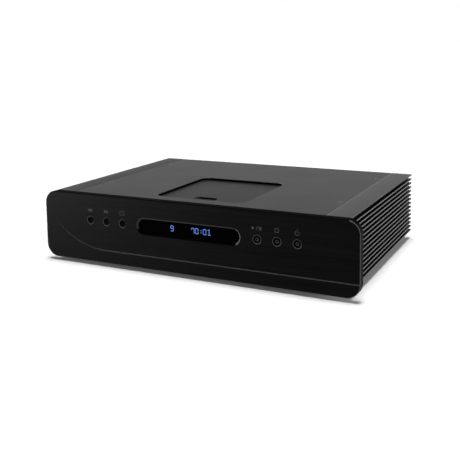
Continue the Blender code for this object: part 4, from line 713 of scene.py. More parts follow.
def groove_cutter():
    """A V along the front: an arc down from the left edge, then a level line."""
    level, over, steps = plate_low.z + GROOVE_RISE, 0.003, 56
    first_angle = math.asin(min(1, (GROOVE_SWEEP_WIDTH + over) / GROOVE_SWEEP_RADIUS))
    centre = Vector((plate_low.x + GROOVE_SWEEP_WIDTH, level + GROOVE_SWEEP_RADIUS))
    path = []
    for step in range(steps + 1):
        angle = first_angle * (1 - step / steps)
        across = Vector((math.sin(angle), math.cos(angle)))
        path.append((centre - GROOVE_SWEEP_RADIUS * across, across))
    path.append((Vector((plate_high.x + over, level)), Vector((0, 1))))
    half = GROOVE_HALF_WIDTH * (GROOVE_DEPTH + over) / GROOVE_DEPTH
    rings = []
    for middle, across in path:
        above, below = raised("Y", (middle + across * half, middle - across * half), FRONT - over)
        rings.append([above, place("Y", *middle, FRONT + GROOVE_DEPTH), below])
    return lofted(rings)


def make_faceplate(materials):
    """The plate with its slot, key holes and groove. The order of its finishes is the order of their names here."""
    FACE, DARK_EDGE, EDGE, GROOVE, TOP, SIDE, BRIGHT_EDGE, FAINT_GROOVE = range(8)
    size = plate_high - plate_low
    outline = rounded(size.x, size.z, PLATE_CORNER, 24, (0, plate_low.z + size.z / 2))
    holes = [rounded(slot_length, slot_height, slot_height / 2, 24, slot_centre)]
    holes += [circle(KEY_RADIUS + CLEARANCE, 48, centre) for centre in KEY_CENTRES.values()]
    widths = [PLATE_EDGE, SLOT_CHAMFER] + [KEY_HOLE_CHAMFER] * len(KEYS)
    plate = chamfered_plate("front_plate", "Y", FRONT, plate_high.y, FRONT, outline, holes, widths)
    plate = combined(plate, groove_cutter(), solver="MANIFOLD")
    key_zone = 0.007

    def by_place(seen):
        """The rim's right edge and the slot's right end are bright in the photo, and their upper edges dark."""
        # The lighter and darker copies of the edge finish are painted light: the key holes' chamfers, the rim's right
        # edge and the slot's right end take a painted highlight, and the rim's upper and left edges and the slot's
        # upward-facing edge take painted shade.
        normal, spot = seen.normal, seen.center.xz
        if normal.y < -0.99:
            return FACE
        if normal.y > -0.2:
            # The plate's top face takes a darker copy of the brushed finish, as painted shade.
            return TOP if normal.z > 0.7 else SIDE
        if any((centre - spot).length < key_zone for centre in KEY_CENTRES.values()):
            return BRIGHT_EDGE
        if abs(spot.x) < slot_length / 2 + SLOT_CHAMFER and abs(spot.y - slot_centre[1]) < slot_height:
            return BRIGHT_EDGE if normal.x < -0.3 else DARK_EDGE if normal.z > 0.3 else EDGE
        if abs(normal.y) > 0.68:
            return BRIGHT_EDGE if normal.x > 0.2 else DARK_EDGE if normal.z > 0.3 or normal.x < -0.6 else EDGE
        # The groove's walls take a lighter grey than the face as a painted highlight of the line, in a fainter copy
        # where the groove sweeps down in its arc.
        return FAINT_GROOVE if abs(normal.x) > 0.1 else GROOVE

    dressed(plate, "case", materials, ["faceplate"], by_place)


def make_key(name, face, ring):
    """A turned key: a flat rim round a dish with a small nib in its middle. The right keys show a lighter ring on
    theirs as a painted highlight, and the left keys, of the same shape, show none.
    """
    low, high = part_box("button_" + name)
    front, behind, centre = low.y, plate_high.y, KEY_CENTRES[name]
    dish, nib, rim = 0.0005, 0.0008, KEY_RADIUS - 0.0011
    shape = cuts(front + dish, (0.01, -0.15), (0.5, -0.12), (0.8, 0))
    for step in range(1, 9):
        share = step / 8
        shape.append((nib + (rim - nib) * share, front + dish * (1 - share ** 2)))
    shape += [(KEY_RADIUS - 0.0004, front), (KEY_RADIUS - 0.00012, front + 0.0001), (KEY_RADIUS, front + 0.0004),
              (KEY_RADIUS, behind + CLEARANCE), (0.006, behind + CLEARANCE), *cuts(behind, (6, 1.5), (1.8, 1.5)),
              (0.0018, high.y)]

    def by_place(seen):
        radius = (seen.center.xz - centre).length
        return int(centre.x > 0 and seen.normal.y < -0.5 and 0.0013 < radius < 0.0023)

    key = loose_object("key_" + name, turned(shape, 48, "Y", centre))
    dressed(key, "button_" + name, [face, ring], ["button_" + name], by_place)


def make_window(material):
    """A window that fills the slot, with a flange behind the plate."""
    edge, seat = 0.0003, window_high.y - WINDOW_FLANGE_THICKNESS
    rings = []
    for grow, level in ((-CLEARANCE - edge, window_low.y), (-CLEARANCE, window_low.y + edge), (-CLEARANCE, seat),
                        (WINDOW_FLANGE, seat), (WINDOW_FLANGE, window_high.y)):
        height = slot_height + 2 * grow
        rings.append(raised("Y", rounded(slot_length + 2 * grow, height, height / 2, 24, slot_centre), level))
    add_piece("smoked_window", lofted(rings), "case", material, ["display_window"])


# The strokes of a seven-stroke figure, each between two of its corners, as (column, row)
STROKES = {"a": ((0, 2), (1, 2)), "b": ((1, 1), (1, 2)), "c": ((1, 0), (1, 1)), "d": ((0, 0), (1, 0)),
           "e": ((0, 0), (0, 1)), "f": ((0, 1), (0, 2)), "g": ((0, 1), (1, 1))}
FIGURES = {"0": "abcdef", "7": "abc", "9": "abcdfg"}
FIGURE_WIDTH = 0.0047
FIGURE_HEIGHT = 0.0073
STROKE = 0.00082


def stroke_outline(letter, left, low):
    """One stroke of a figure, with pointed ends."""
    half, gap = STROKE / 2, 0.00008
    columns = (left + half, left + FIGURE_WIDTH - half)
    rows = (low + half, low + FIGURE_HEIGHT / 2, low + FIGURE_HEIGHT - half)
    start, end = (Vector((columns[column], rows[row])) for column, row in STROKES[letter])
    along = (end - start).normalized()
    beside = Vector((-along.y, along.x)) * half
    start, end, tip = start + along * gap, end - along * gap, along * half
    return [start, start + tip - beside, end - tip - beside, end, end - tip + beside, start + tip + beside]


def printed(outlines, low, high):
    """Thin plates of several outlines, between two levels of Y."""
    return gathered([extruded(outline, low, high, "Y") for outline in outlines])


def make_figures(material):
    """A track number and a time, lit in the window."""
    low = slot_centre[1] - FIGURE_HEIGHT / 2 + 0.0011
    top = low + FIGURE_HEIGHT
    strokes = []
    for figure, left in (("9", -0.0243), ("7", 0.0054), ("0", 0.0109), ("0", 0.0218)):
        strokes += [stroke_outline(letter, left, low) for letter in FIGURES[figure]]
    # The hook of the seven, the two dots, and a one with a flag and a foot
    strokes += [rectangle(0.0054, 0.0054 + STROKE, top - 0.0024, top - 0.0010),
                rectangle(0.0185, 0.0195, low + 0.0018, low + 0.0028),
                rectangle(0.0185, 0.0195, low + 0.0045, low + 0.0055),
                rectangle(0.0300, 0.0300 + STROKE, low + STROKE, top),
                points((28.5, -1.7), (29.9, -0.9), (29.9, 0), (28.5, -0.9), centre=(0, top)),
                rectangle(0.0287, 0.0323, low, low + STROKE * 0.95)]
    figures = printed(strokes, window_low.y - 0.00006, window_low.y + 0.00010)
    add_piece("lit_figures", figures, "case", material)


def triangle(x, z, width, height):
    """A triangle that points to the right, or to the left where its width is negative."""
    x -= width / 2
    return [Vector((x, z - height / 2)), Vector((x + width, z)), Vector((x, z + height / 2))]


def bar(x, z, width, height):
    return rectangle(x - width / 2, x + width / 2, z - height / 2, z + height / 2)


def ring_piece(x, z, radius, thickness, start, end, steps=28):
    """Part of a ring, from one angle to another."""
    angles = [math.radians(start + (end - start) * step / steps) for step in range(steps + 1)]
    turns = [Vector((math.cos(angle), math.sin(angle))) for angle in angles]
    middle = Vector((x, z))
    return [middle + radius * turn for turn in turns] + [middle + (radius - thickness) * turn for turn in turns[::-1]]


def set_at(spot, outlines):
    """Outlines in millimetres, set round a point in metres."""
    return [[spot + point / 1000 for point in outline] for outline in outlines]


def skip_mark(sign):
    """Two arrows and a bar, to the right or to the left."""
    return [triangle(-1.6 * sign, 0, 2.6 * sign, 4.16), triangle(sign, 0, 2.6 * sign, 4.16),
            bar(2.9 * sign, 0, 0.7, 4.16)]


def key_marks():
    """The plain mark over each key, in millimetres round its middle."""
    slash = [Vector(pair) for pair in ((-1.2, -2.6), (-0.5, -2.6), (1.4, 2.6), (0.7, 2.6))]
    marks = {"previous": skip_mark(-1), "next": skip_mark(1), "repeat": [], "stop": [],
             "play_pause": [triangle(-4.6, 0, 3.6, 4.42), slash, bar(3.2, 0, 1.2, 4.42), bar(5.4, 0, 1.2, 4.42)],
             "standby": [ring_piece(0, -0.6, 2.9, 0.7, 122, 418), bar(0, 2.1, 0.7, 4.2)]}
    for sign in (1, -1):
        marks["repeat"] += [bar(0.5 * sign, 2.1 * sign, 5.8, 0.6), bar(-3.4 * sign, 0.5 * sign, 0.6, 3.8),
                            triangle(-1.8 * sign, 2.1 * sign, -1.6 * sign, 2.0)]
        marks["stop"] += [bar(0, 2.25 * sign, 5.2, 0.7), bar(2.25 * sign, 0, 0.7, 3.8)]
    return marks


def make_marks(left_finish, right_finish):
    outlines = []
    for name, mark in key_marks().items():
        outlines += set_at(KEY_CENTRES[name] + Vector((0, MARK_RISE)), mark)
    marks = loose_object("key_marks", printed(outlines, FRONT - MARK_THICKNESS, FRONT + MARK_THICKNESS))
    # The marks left of the middle take a darker copy of the same print, as painted shade.
    dressed(marks, "case", [left_finish, right_finish], rule=lambda seen: int(seen.center.x > 0))


# Top cover, lid, side extrusions and screws

cover_low, cover_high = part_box("top_cover")
lid_low, lid_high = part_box("disc_lid")
opening_low = Vector((-0.0635, lid_low.y + 0.004))
opening_high = Vector((0.0635, lid_high.y - 0.0035))
COVER_SCREWS = at_corners("cover_screw")


def screw_places():
    return [(*middle_of(name).xy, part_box(name)[1].z) for name in COVER_SCREWS]


def make_top_cover(face, edge, bare_edge_and_highlight, shaded):
    size, centre = opening_high - opening_low, (opening_low + opening_high) / 2
    holes = [rounded(size.x, size.y, OPENING_CORNER, 18, centre)]
    holes += [circle(SCREW_SHANK_RADIUS + CLEARANCE, 28, (x, y)) for x, y, _ in screw_places()]
    widths = [COVER_EDGE, OPENING_EDGE] + [SCREW_HEAD_RADIUS - SCREW_SHANK_RADIUS] * len(COVER_SCREWS)
    outline = rectangle(cover_low.x, cover_high.x, cover_low.y, cover_high.y)
    cover = chamfered_plate("cover_plate", "Z", cover_low.z, cover_high.z, cover_high.z, outline, holes, widths)

    def by_place(seen):
        """The face, the edge of the opening, the bare cut of an outer edge or a screw hole, or the opening's wall in
        painted shade. On the chamfer of the opening's right edge, which faces left, the bare finish is a painted
        highlight.
        """
        if abs(seen.normal.z) < 0.2:
            return 3
        if seen.normal.z > 0.99 or seen.normal.z < 0:
            return 0
        outside = abs(seen.center.x) > OPENING_CORNER + opening_high.x
        return 2 if outside or seen.normal.x < -0.2 else 1

    dressed(cover, "case", [face, edge, bare_edge_and_highlight, shaded], ["top_cover"], by_place)


def socket_screw_head(top_radius, low_radius, depth, socket_radius, socket_depth, dome):
    """A screw head with a six-sided socket, seated at the origin along Z."""
    sides = 24

    def ring(radius, level, six_sided=False):
        spots = []
        for spot in circle(radius, sides):
            if six_sided:
                within = (math.atan2(spot.y, spot.x) + math.pi / 6) % (math.pi / 3) - math.pi / 6
                spot *= math.cos(math.pi / 6) / math.cos(within)
            spots.append(Vector((*spot, level)))
        return spots

    rings = [ring(low_radius, -depth), ring(top_radius - 0.00015, -0.0001), ring(top_radius, 0.0)]
    for share in (1 / 3, 2 / 3, 1):
        rings.append(ring(top_radius + (socket_radius * 1.25 - top_radius) * share,
                          dome * math.sin(share * math.pi / 2)))
    rings += [ring(socket_radius, dome, True), ring(socket_radius, dome - socket_depth, True),
              ring(socket_radius * 0.4, dome - socket_depth - 0.0002)]
    return lofted(rings)


def make_cover_screws(material, recipe):
    head = socket_screw_head(top_radius=SCREW_HEAD_RADIUS - 0.0003, low_radius=SCREW_SHANK_RADIUS, depth=0.0012,
                             socket_radius=0.0012, socket_depth=0.0011, dome=0.00002)
    screws = set_out("cover_screws", head, screw_places(), recipe, material, most_turn=1.0, seed=4)
    dressed(screws, "case", [material], COVER_SCREWS)


def finger_pull_cutter():
    """A pocket with a steep back wall, and a front that ramps down to its floor."""
    back = opening_low.y + 0.007 + PULL_LENGTH
    rings = []
    for share in (0, 0.5, 1):
        grow = PULL_DRAFT * share
        length = PULL_LENGTH / 2 + (PULL_LENGTH / 2 + grow) * share
        outline = rounded(PULL_WIDTH + 2 * grow, length, PULL_CORNER, 12, (0, back - length / 2))
        rings.append(raised("Z", outline, lid_high.z - PULL_DEPTH * (1 - share)))
    return lofted([*rings, raised("Z", outline, lid_high.z + 0.003)])


def make_lid(face, pull):
    """The lid with a tongue along each side and its finger pull."""
    reach, middle = lid_high.x, (lid_low.z + lid_high.z) / 2
    half = reach - 0.0047
    right = [Vector((half, lid_low.z)),
             *points((-4.7, -0.75), (0, -0.75), (0, 0.75), (-4.7, 0.75), centre=(reach, middle)),
             *points((0, -0.3), (-0.3, 0), centre=(half, lid_high.z))]
    left = [Vector((-point.x, point.y)) for point in reversed(right)]
    lid = loose_object("sliding_lid", extruded(right + left, lid_low.y, lid_high.y, "Y"))

    def by_place(seen):
        # The pocket's faces that look up take a lighter finish than the lid, a painted highlight that lifts the pocket
        # out of its shade.
        inside = abs(seen.center.x) < PULL_WIDTH / 2 + 0.003 and seen.center.z < lid_high.z - 0.0002
        return int(inside and seen.normal.z > 0.03)

    dressed(combined(lid, finger_pull_cutter()), "lid", [face, pull], ["disc_lid"], by_place,
            LID_SHARP)


def make_side_extrusion(side, name, material, edge, shaded, tip_highlight, fins):
    """A wall with its ledges and its thick top flange, and a stack of fins outside it."""
    low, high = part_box(name)
    inner, top = cover_high.x + CLEARANCE, high.z
    wall, tip = inner + WALL, plate_high.x - 0.013
    ledge = cover_low.z - CLEARANCE
    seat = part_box("base_tray")[0].z + TRAY_SHEET + CLEARANCE
    section = [
        Vector((wall, low.z)), Vector((wall, top - 0.003)),
        *points((-0.6, -1.8), (-0.15, -1.6), (0, -1.2), (0, -0.6), (-0.15, -0.15), (-0.6, 0), centre=(tip, top)),
        *points((0.4, 0), (0, -0.4), centre=(inner, top)),
        *points((0, 0), (-14, 0), (-14, -4.7), (0, -4.7), centre=(inner, ledge)),
        *points((0, 4), (-12, 4), (-12, 0), (0, 0), centre=(inner, seat)), Vector((inner, low.z)),
    ]
    section = [Vector((side * point.x, point.y)) for point in section]

    def by_place(seen):
        """The top, its edges, or a face that the fins or the flange shade."""
        if 0.2 < seen.normal.z < 0.95:
            return 1
        return 2 if seen.normal.x * side > 0.5 or seen.normal.z < -0.2 else 0

    wall_piece = loose_object(name + "_wall", extruded(section, low.y, high.y, "Y"))
    dressed(wall_piece, "case", [material, edge, shaded], [name], by_place)

    reach = tip - wall + 0.001
    start = Vector((side * (tip - reach / 2), low.y, low.z + FIN_ROOT / 2))
    stack = grown(name + "_fins", bpy.data.meshes.new("start"), fins, Fins=FINS, Pitch=FIN_PITCH, Reach=reach,
                  Root=FIN_ROOT, Tip=FIN_TIP, Nose=FIN_NOSE, Length=high.y - low.y, Start=start, Material=material)
    if side < 0:
        for vert in stack.data.vertices:
            vert.co.x = 2 * start.x - vert.co.x
        stack.data.flip_normals()
    # The fins' outward noses take a lighter finish as a painted highlight, and their flanks the shaded copy as painted
    # shade.
    dressed(stack, "case", [shaded, tip_highlight],
            rule=lambda seen: int(seen.normal.x * side > 0.9))


def make_feet(material, recipe):
    """Rubber feet with a stepped pad and rings moulded into its underside."""
    names = at_corners("foot")
    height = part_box(names[0])[1].z
    shape = cuts(0, (2.5, 1.6), (3.2, 0.2), (4, 0), (9, 0), (9.4, 0.5), (10.4, 0.5), (10.8, 0), (18.2, 0),
                 (18.8, 0.3), (19, 0.9), (19, 2.5), (21.2, 2.5), (21.8, 2.8), (22, 3.4))
    foot = turned(shape + cuts(height, (22, -0.9), (21.8, -0.3), (21.2, 0)), 64)
    spots = [(*middle_of(name).xy, 0.0) for name in names]
    dressed(set_out("rubber_feet", foot, spots, recipe, material), "case", [material], names)


# Rear panel

def make_rear_screws(material, recipe):
    low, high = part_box("rear_panel")
    inset = 0.0135
    spots = [(x, REAR, z) for x in (-0.172, -0.05, 0.05, 0.172) for z in (high.z - inset, low.z + inset)]
    head = socket_screw_head(top_radius=0.0026, low_radius=0.0025, depth=0.0004, socket_radius=0.0011,
                             socket_depth=0.0009, dome=0.0011)
    bmesh.ops.transform(head, matrix=Matrix.Rotation(-math.pi / 2, 4, "X"), verts=head.verts)
    screws = set_out("rear_screws", head, spots, recipe, material, axis=(0.0, 1.0, 0.0), most_turn=1.0, seed=9)
    dressed(screws, "case", [material])


def lettering(word, size, x, z):
    """A printed word on the rear, centred over a point and read from behind."""
    curve = bpy.data.curves.new("word", "FONT")
    curve.body = word
    curve.size = size
    curve.align_x = "CENTER"
    curve.extrude = MARK_THICKNESS
    curve.resolution_u = 3
    thing = new_object("word", curve)
    solid = bmesh.new()
    solid.from_mesh(plain_mesh(thing))
    bpy.data.objects.remove(thing)
    bmesh.ops.remove_doubles(solid, verts=solid.verts, dist=SAME_POINT)
    facing_back = Matrix(((-1, 0, 0, x), (0, 0, 1, REAR), (0, 1, 0, z), (0, 0, 0, 1)))
    bmesh.ops.transform(solid, matrix=facing_back, verts=solid.verts)
    bmesh.ops.recalc_face_normals(solid, faces=solid.faces)
    return solid


def make_rear_labels(material):
    """The plain names of the sockets and of the switch."""
    solids = []
    for word, node in (("L", "analog_output_left"), ("R", "analog_output_right"), ("COAX", "digital_output_coax"),
                       ("OPTICAL", "digital_output_optical")):
        solids.append(lettering(word, 0.0036, middle_of(node).x, LABEL_ROW))
    for word, node in (("POWER", "power_switch_frame"), ("AC IN", "mains_inlet")):
        solids.append(lettering(word, 0.0036, middle_of(node).x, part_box(node)[1].z + 0.0025))
    for word, first, last in (("ANALOG OUT", "analog_output_left", "analog_output_right"),
                              ("DIGITAL OUT", "digital_output_coax", "digital_output_optical")):
        x = (middle_of(first).x + middle_of(last).x) / 2
        solids.append(lettering(word, 0.0040, x, LABEL_ROW + 0.0062))
        solids.append(printed([bar(x, LABEL_ROW + 0.0048, 0.034, 0.0003)], REAR - MARK_THICKNESS,
                              REAR + MARK_THICKNESS))
    add_piece("rear_labels", gathered(solids), "case", material)


def make_round_socket(node, metal, plastic, plastic_slot):
    """A barrel through the panel, a ring of plastic in it, and the tube of the contact."""
    low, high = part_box(node)
    panel, end, centre = REAR + CLEARANCE, high.y, middle_of(node).xz
    barrel = [*cuts(end, (3.1, -7.9)), *cuts(low.y, (4.4, 0), (5, 0.6)),
              *cuts(panel, (5, 0), (7.2, 0), (7.5, 0.3), (7.5, 1.2), (7.2, 1.5), (4.4, 1.5), (4.15, 1.8)),
              *cuts(end, (4.15, -0.6), (3.8, 0), (3.3, 0), (3.1, -0.3))]
    core = cuts(end, (1.6, -7.8), (3.1, -7.6), (3.1, -0.8), (2.9, -0.5), (1.8, -0.5), (1.6, -0.8))
    tube = cuts(end, (0.9, -7.8), (1.6, -7.8), (1.6, -0.9), (1.3, -0.9), (0.9, -1.4))
    for name, shape, sides, material, slot, replaced in (
            ("_shell", barrel, 56, metal, "gold_plated_brass", [node]),
            ("_insulator", core, 48, plastic, plastic_slot, []),
            ("_contact", tube, 32, metal, "gold_plated_brass", [])):
        add_piece(node + name, turned(shape, sides, "Y", centre, True), "case", material, replaced)


def make_inlet(shell_material, pin_material, recipe):
    """A mains inlet: a shell with two cut corners and three blades."""
    low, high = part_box("mains_inlet")
    x, _, z = middle_of("mains_inlet")
    flange, corner, lip, edge = 0.002, 0.005, 0.0015, 0.0004
    seat, floor, tip = high.y - 0.0022, high.y - 0.0165, high.y - 0.003

    def ring(grow, y):
        wide, tall = (high.x - low.x) / 2 - flange + grow, (high.z - low.z) / 2 - flange + grow
        outline = [(-wide, -tall), (wide, -tall), (wide, tall - corner), (wide - corner, tall),
                   (corner - wide, tall), (-wide, tall - corner)]
        return [Vector((x + across, y, z + up)) for across, up in outline]

    rings = [ring(0, low.y), ring(0, seat), ring(flange, seat), ring(flange, high.y - edge),
             ring(flange - edge, high.y), ring(-0.0012, high.y), ring(-lip, high.y - edge), ring(-lip, floor)]
    add_piece("inlet_shell", lofted(rings), "case", shell_material, ["mains_inlet"])

    blade = []
    for grow, y in ((0, floor - 0.001), (0, tip - 0.0012), (-0.0002, tip - 0.0004), (-0.0006, tip)):
        blade.append(raised("Y", rounded(0.002 + 2 * grow, 0.004 + 2 * grow, 0.0003, 3), y))
    spots = [(x - 0.007, 0.0, z - 0.002), (x, 0.0, z + 0.002), (x + 0.007, 0.0, z - 0.002)]
    pins = set_out("inlet_pins", lofted(blade), spots, recipe, pin_material)
    dressed(pins, "case", [pin_material])


def make_rocker_marks(material):
    """A stroke and a ring, on the two faces of the rocker."""
    x, _, z = middle_of("power_rocker")
    rest = Matrix.Translation((x, REAR - 0.0017, z)) @ Matrix.Rotation(math.radians(-10), 4, "X")
    slope = math.atan2(0.0014, 0.0076)
    marks = []
    for sign, mark in ((1, bar(0, 0, 0.6, 3)), (-1, ring_piece(0, 0, 1.6, 0.5, 0, 359.9, 40))):
        plate = printed(set_at(Vector((0, 0)), [mark]), -0.00003, 0.00005)
        seat = Matrix.Translation((0, 0.0023, sign * 0.0040)) @ Matrix.Rotation(-sign * slope, 4, "X")
        bmesh.ops.transform(plate, matrix=rest @ seat, verts=plate.verts)
        marks.append(plate)
    add_piece("rocker_marks", gathered(marks), "rocker", material)


def make_shutter(material):
    """The flap that closes the optical output."""
    x, _, z = middle_of("digital_output_optical")
    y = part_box("digital_output_optical")[1].y - 0.0015
    rings = [raised("Y", rounded(size, size, 0.001, 6, (x, z)), level)
             for size, level in ((0.0058, y), (0.0058, y + 0.0004), (0.0052, y + 0.0007))]
    grip = extruded(rounded(0.0032, 0.0006, 0.0002, 4, (x, z - 0.0014)), y, y + 0.0011, "Y")
    add_piece("optical_shutter", gathered([lofted(rings), grip]), "case", material)


# Under the lid

spindle = middle_of("spindle_hub")


def make_well(material):
    """A dish that is a little wider than a disc, with a slot for the lens."""
    low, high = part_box("disc_well")
    bottom, top, floor = low.z, high.z, high.z - 0.011
    plate = rounded(high.x - low.x, high.y - low.y, 0.013, 10, spindle.xy)
    bowl = cuts(bottom, (62, 0), (63, 1)) + cuts(top, (64, -1))
    dish = cuts(floor, (59.8, 0), (60.6, 0.3), (61, 1)) + cuts(top, (61.6, -1.2), (62, -0.4), (62.5, 0), (62.5, 2))
    hub_hole = cuts(bottom, (16.5, -2)) + cuts(floor, (16.5, 2))
    slot = rounded(LENS_SLOT, 0.022, 0.003, 8, (LENS_SLOT / 2, spindle.y))
    well = loose_object("well_dish", extruded(plate, top - 0.002, top))
    well = combined(well, turned(bowl, 120, "Z", spindle), "UNION")
    for cut in (turned(dish, 120, "Z", spindle), turned(hub_hole, 64, "Z", spindle),
                extruded(slot, bottom - 0.002, floor + 0.0004)):
        well = combined(well, cut)
    dressed(well, "case", [material], ["disc_well"])


def make_hub_and_puck(hub_material, puck_material, rubber_material, ridges):
    low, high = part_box("spindle_hub")
    seat = high.z - 0.002
    hub = [*cuts(low.z, (2, 0)),
           *cuts(seat, (2, -2.2), (13.7, -2.2), (14, -1.9), (14, -0.4), (13.7, -0.1), (7.4, -0.1), (7.2, 0.6)),
           *cuts(high.z, (6.6, -0.3), (6.2, 0), (2.4, 0), (2, -0.5))]
    add_piece("turntable_hub", turned(hub, 72, "Z", spindle), "spindle", hub_material,
              ["spindle_hub"])
    ring = cuts(seat, (9.6, -0.2), (13.4, -0.2), (13.4, 0), (13.2, 0.1), (9.8, 0.1), (9.6, 0))
    add_piece("hub_ring", turned(ring, 72, "Z", spindle, True), "spindle", rubber_material)

    low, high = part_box("clamp_puck")
    puck = [*cuts(low.z, (7, 2.6), (8, 2.5), (8, 0), (14.8, 0), (15.2, 0.5), (15.6, 1.2)),
            *cuts(high.z, (15.6, -1.2), (15.3, -0.4), (14.6, 0), (9.8, 0), (9.4, -0.6), (6, -0.8), (5.6, -0.4),
                  (3, -0.4), (2.6, -0.8))]
    add_piece("magnetic_puck", turned(puck, 96, "Z", spindle), "spindle", puck_material,
              ["clamp_puck"])
    rim = grown("puck_ridges", bpy.data.meshes.new("start"), ridges, Ridges=90, Radius=0.01555, Depth=0.0004,
                Height=0.0032, Centre=Vector((*spindle.xy, (low.z + high.z) / 2 - 0.0016)), Material=puck_material)
    dressed(rim, "spindle", [puck_material])


def make_lens(material):
    """A round lens in a holder whose corners are cut."""
    low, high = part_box("objective_lens")
    centre, half = middle_of("objective_lens").xy, (high.x - low.x) / 2
    holder, rim = low.z + 0.0044, low.z + 0.0050

    def ring(radius, level, squareness=0):
        spots = []
        for turn in circle(1, 48):
            corner = min(1 / max(abs(turn.x), abs(turn.y)), 1.22) - 1
            spots.append(Vector((*(centre + turn * radius * (1 + corner * squareness)), level)))
        return spots

    rings = [ring(half, low.z, 1), ring(half, holder - 0.0002, 1), ring(half - 0.0002, holder, 1),
             ring(0.0034, holder), ring(0.0032, holder + 0.0005), ring(0.0030, rim)]
    for step in range(1, 7):
        angle = math.pi / 2 * step / 6
        rings.append(ring(0.0029 * math.cos(angle) + 0.00002, rim + (high.z - rim) * math.sin(angle)))
    add_piece("lens_and_holder", lofted(rings), "lens", material, ["objective_lens"])


# Materials of the CAD nodes that stay

def coat(material, *names):
    for name in names:
        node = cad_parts[name]
        node.data.materials.clear()
        node.data.materials.append(material)


# Stage, lamps and camera

def studio_floor():
    """A pale floor that shows the shadow, and as bright as the background where no shadow falls."""
    material = bpy.data.materials.new("pale_floor")
    material.use_nodes = True
    nodes = Nodes(material.node_tree)
    nodes.tree.nodes.clear()
    lit = nodes.node("ShaderNodeBsdfDiffuse", {}, {"Color": colour(0.80)})
    dark, glow = (nodes.node("ShaderNodeEmission", {}, {"Strength": power}) for power in (0.0, 0.03))
    chosen = nodes.node("ShaderNodeMixShader", {}, {0: nodes.seen_by("Camera", "Glossy"), 1: dark, 2: glow})
    both = nodes.node("ShaderNodeAddShader", {}, {0: lit, 1: chosen})
    nodes.node("ShaderNodeOutputMaterial", {}, {"Surface": both})
    return material


def make_floor():
    half = 30.0
    mesh = bpy.data.meshes.new("floor")
    mesh.from_pydata(raised("Z", rectangle(-half, half, -half, half), 0), [], [(0, 1, 2, 3)])
    mesh.materials.append(studio_floor())
    new_object("floor", mesh)


def light_the_room():
    """White where the camera or a shiny face looks, and a dim room for everything else."""
    world = bpy.data.worlds.new("studio")
    bpy.context.scene.world = world
    world.use_nodes = True
    nodes = Nodes(world.node_tree)
    nodes.tree.nodes.clear()
    room, white = (nodes.node("ShaderNodeBackground", {}, {"Color": colour(1), "Strength": power})
                   for power in (0.13, 1.0))
    sharp = nodes.seen_by("Camera", "Glossy", "Transmission")
    chosen = nodes.node("ShaderNodeMixShader", {}, {0: sharp, 1: room, 2: white})
    nodes.node("ShaderNodeOutputWorld", {}, {"Surface": chosen})


def add_lamp(name, kind, place_at, aim, energy, size):
    data = bpy.data.lights.new(name, kind)
    data.energy = energy
    if kind == "SUN":
        data.angle = size
    else:
        data.shape = "DISK"
        data.size = size
    lamp = new_object(name, data)
    lamp.location = place_at
    lamp.rotation_euler = (Vector(aim) - Vector(place_at)).to_track_quat("-Z", "Y").to_euler()


def coat_the_inside(plastic, steel, black_rubber):
    """Gives the pieces that stay as they were packed their materials."""
    coat(painted_steel(), "base_tray", "rear_panel")
    coat(plastic, "power_switch_frame", "power_rocker", "digital_output_optical", "pickup_sled",
         "left_lid_guide", "right_lid_guide")
    coat(steel, "transport_deck", "transport_bridge", "guide_rod_front", "guide_rod_rear", "spindle_motor",
         "feed_motor", "transformer_bolt")
    coat(polished("turned_brass", (0.58, 0.40, 0.16), (0.78, 0.58, 0.26), 0.22), "motor_pinion")
    coat(moulded("white_nylon", 0.66, 0.78, 0.38), "feed_gear")
    coat(black_rubber, *at_corners("damper"))
    coat(smoked_window(), "display_panel")
    # The solder side hangs below the main board's sheet, and the front board faces forward
    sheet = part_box("main_board")[0].z + 0.005
    coat(circuit_board("board_finish", sheet - 0.0001, sheet + BOARD_SHEET), "main_board", "power_supply_board")
    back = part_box("front_board")[1].y
    coat(circuit_board("front_board_finish", back - BOARD_SHEET, back + 0.0001, False), "front_board")
    coat(wound_core(middle_of("toroidal_transformer")), "toroidal_transformer")
    for number in range(1, 5):
        name = f"filter_capacitor_{number}"
        low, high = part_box(name)
        coat(capacitor_sleeve(name + "_finish", middle_of(name), (high.z - low.z) / 2 - 0.0009), name)


def add_camera():
    """The camera that was fitted to the photograph's edges."""
    yaw, pitch, roll = math.radians(26.67), math.radians(6.55), math.radians(-0.87)
    focal, centre_y, pixels, sensor = 736.41, 125.52, 460, 36.0
    ahead = Vector((-math.sin(yaw) * math.cos(pitch), math.cos(yaw) * math.cos(pitch), -math.sin(pitch)))
    level_right = ahead.cross(Vector((0, 0, 1))).normalized()
    level_up = level_right.cross(ahead)
    right = math.cos(roll) * level_right + math.sin(roll) * level_up
    up = -math.sin(roll) * level_right + math.cos(roll) * level_up
    data = bpy.data.cameras.new("camera")
    data.sensor_width = sensor
    data.lens = sensor * focal / pixels
    data.shift_y = (centre_y - pixels / 2) / pixels
    camera = new_object("camera", data)
    turned_to = Matrix((right, up, -ahead)).transposed()
    camera.matrix_world = Matrix.Translation((0.44655, FRONT - 0.76536, plate_low.z + 0.28706)) @ turned_to.to_4x4()
    bpy.context.scene.camera = camera


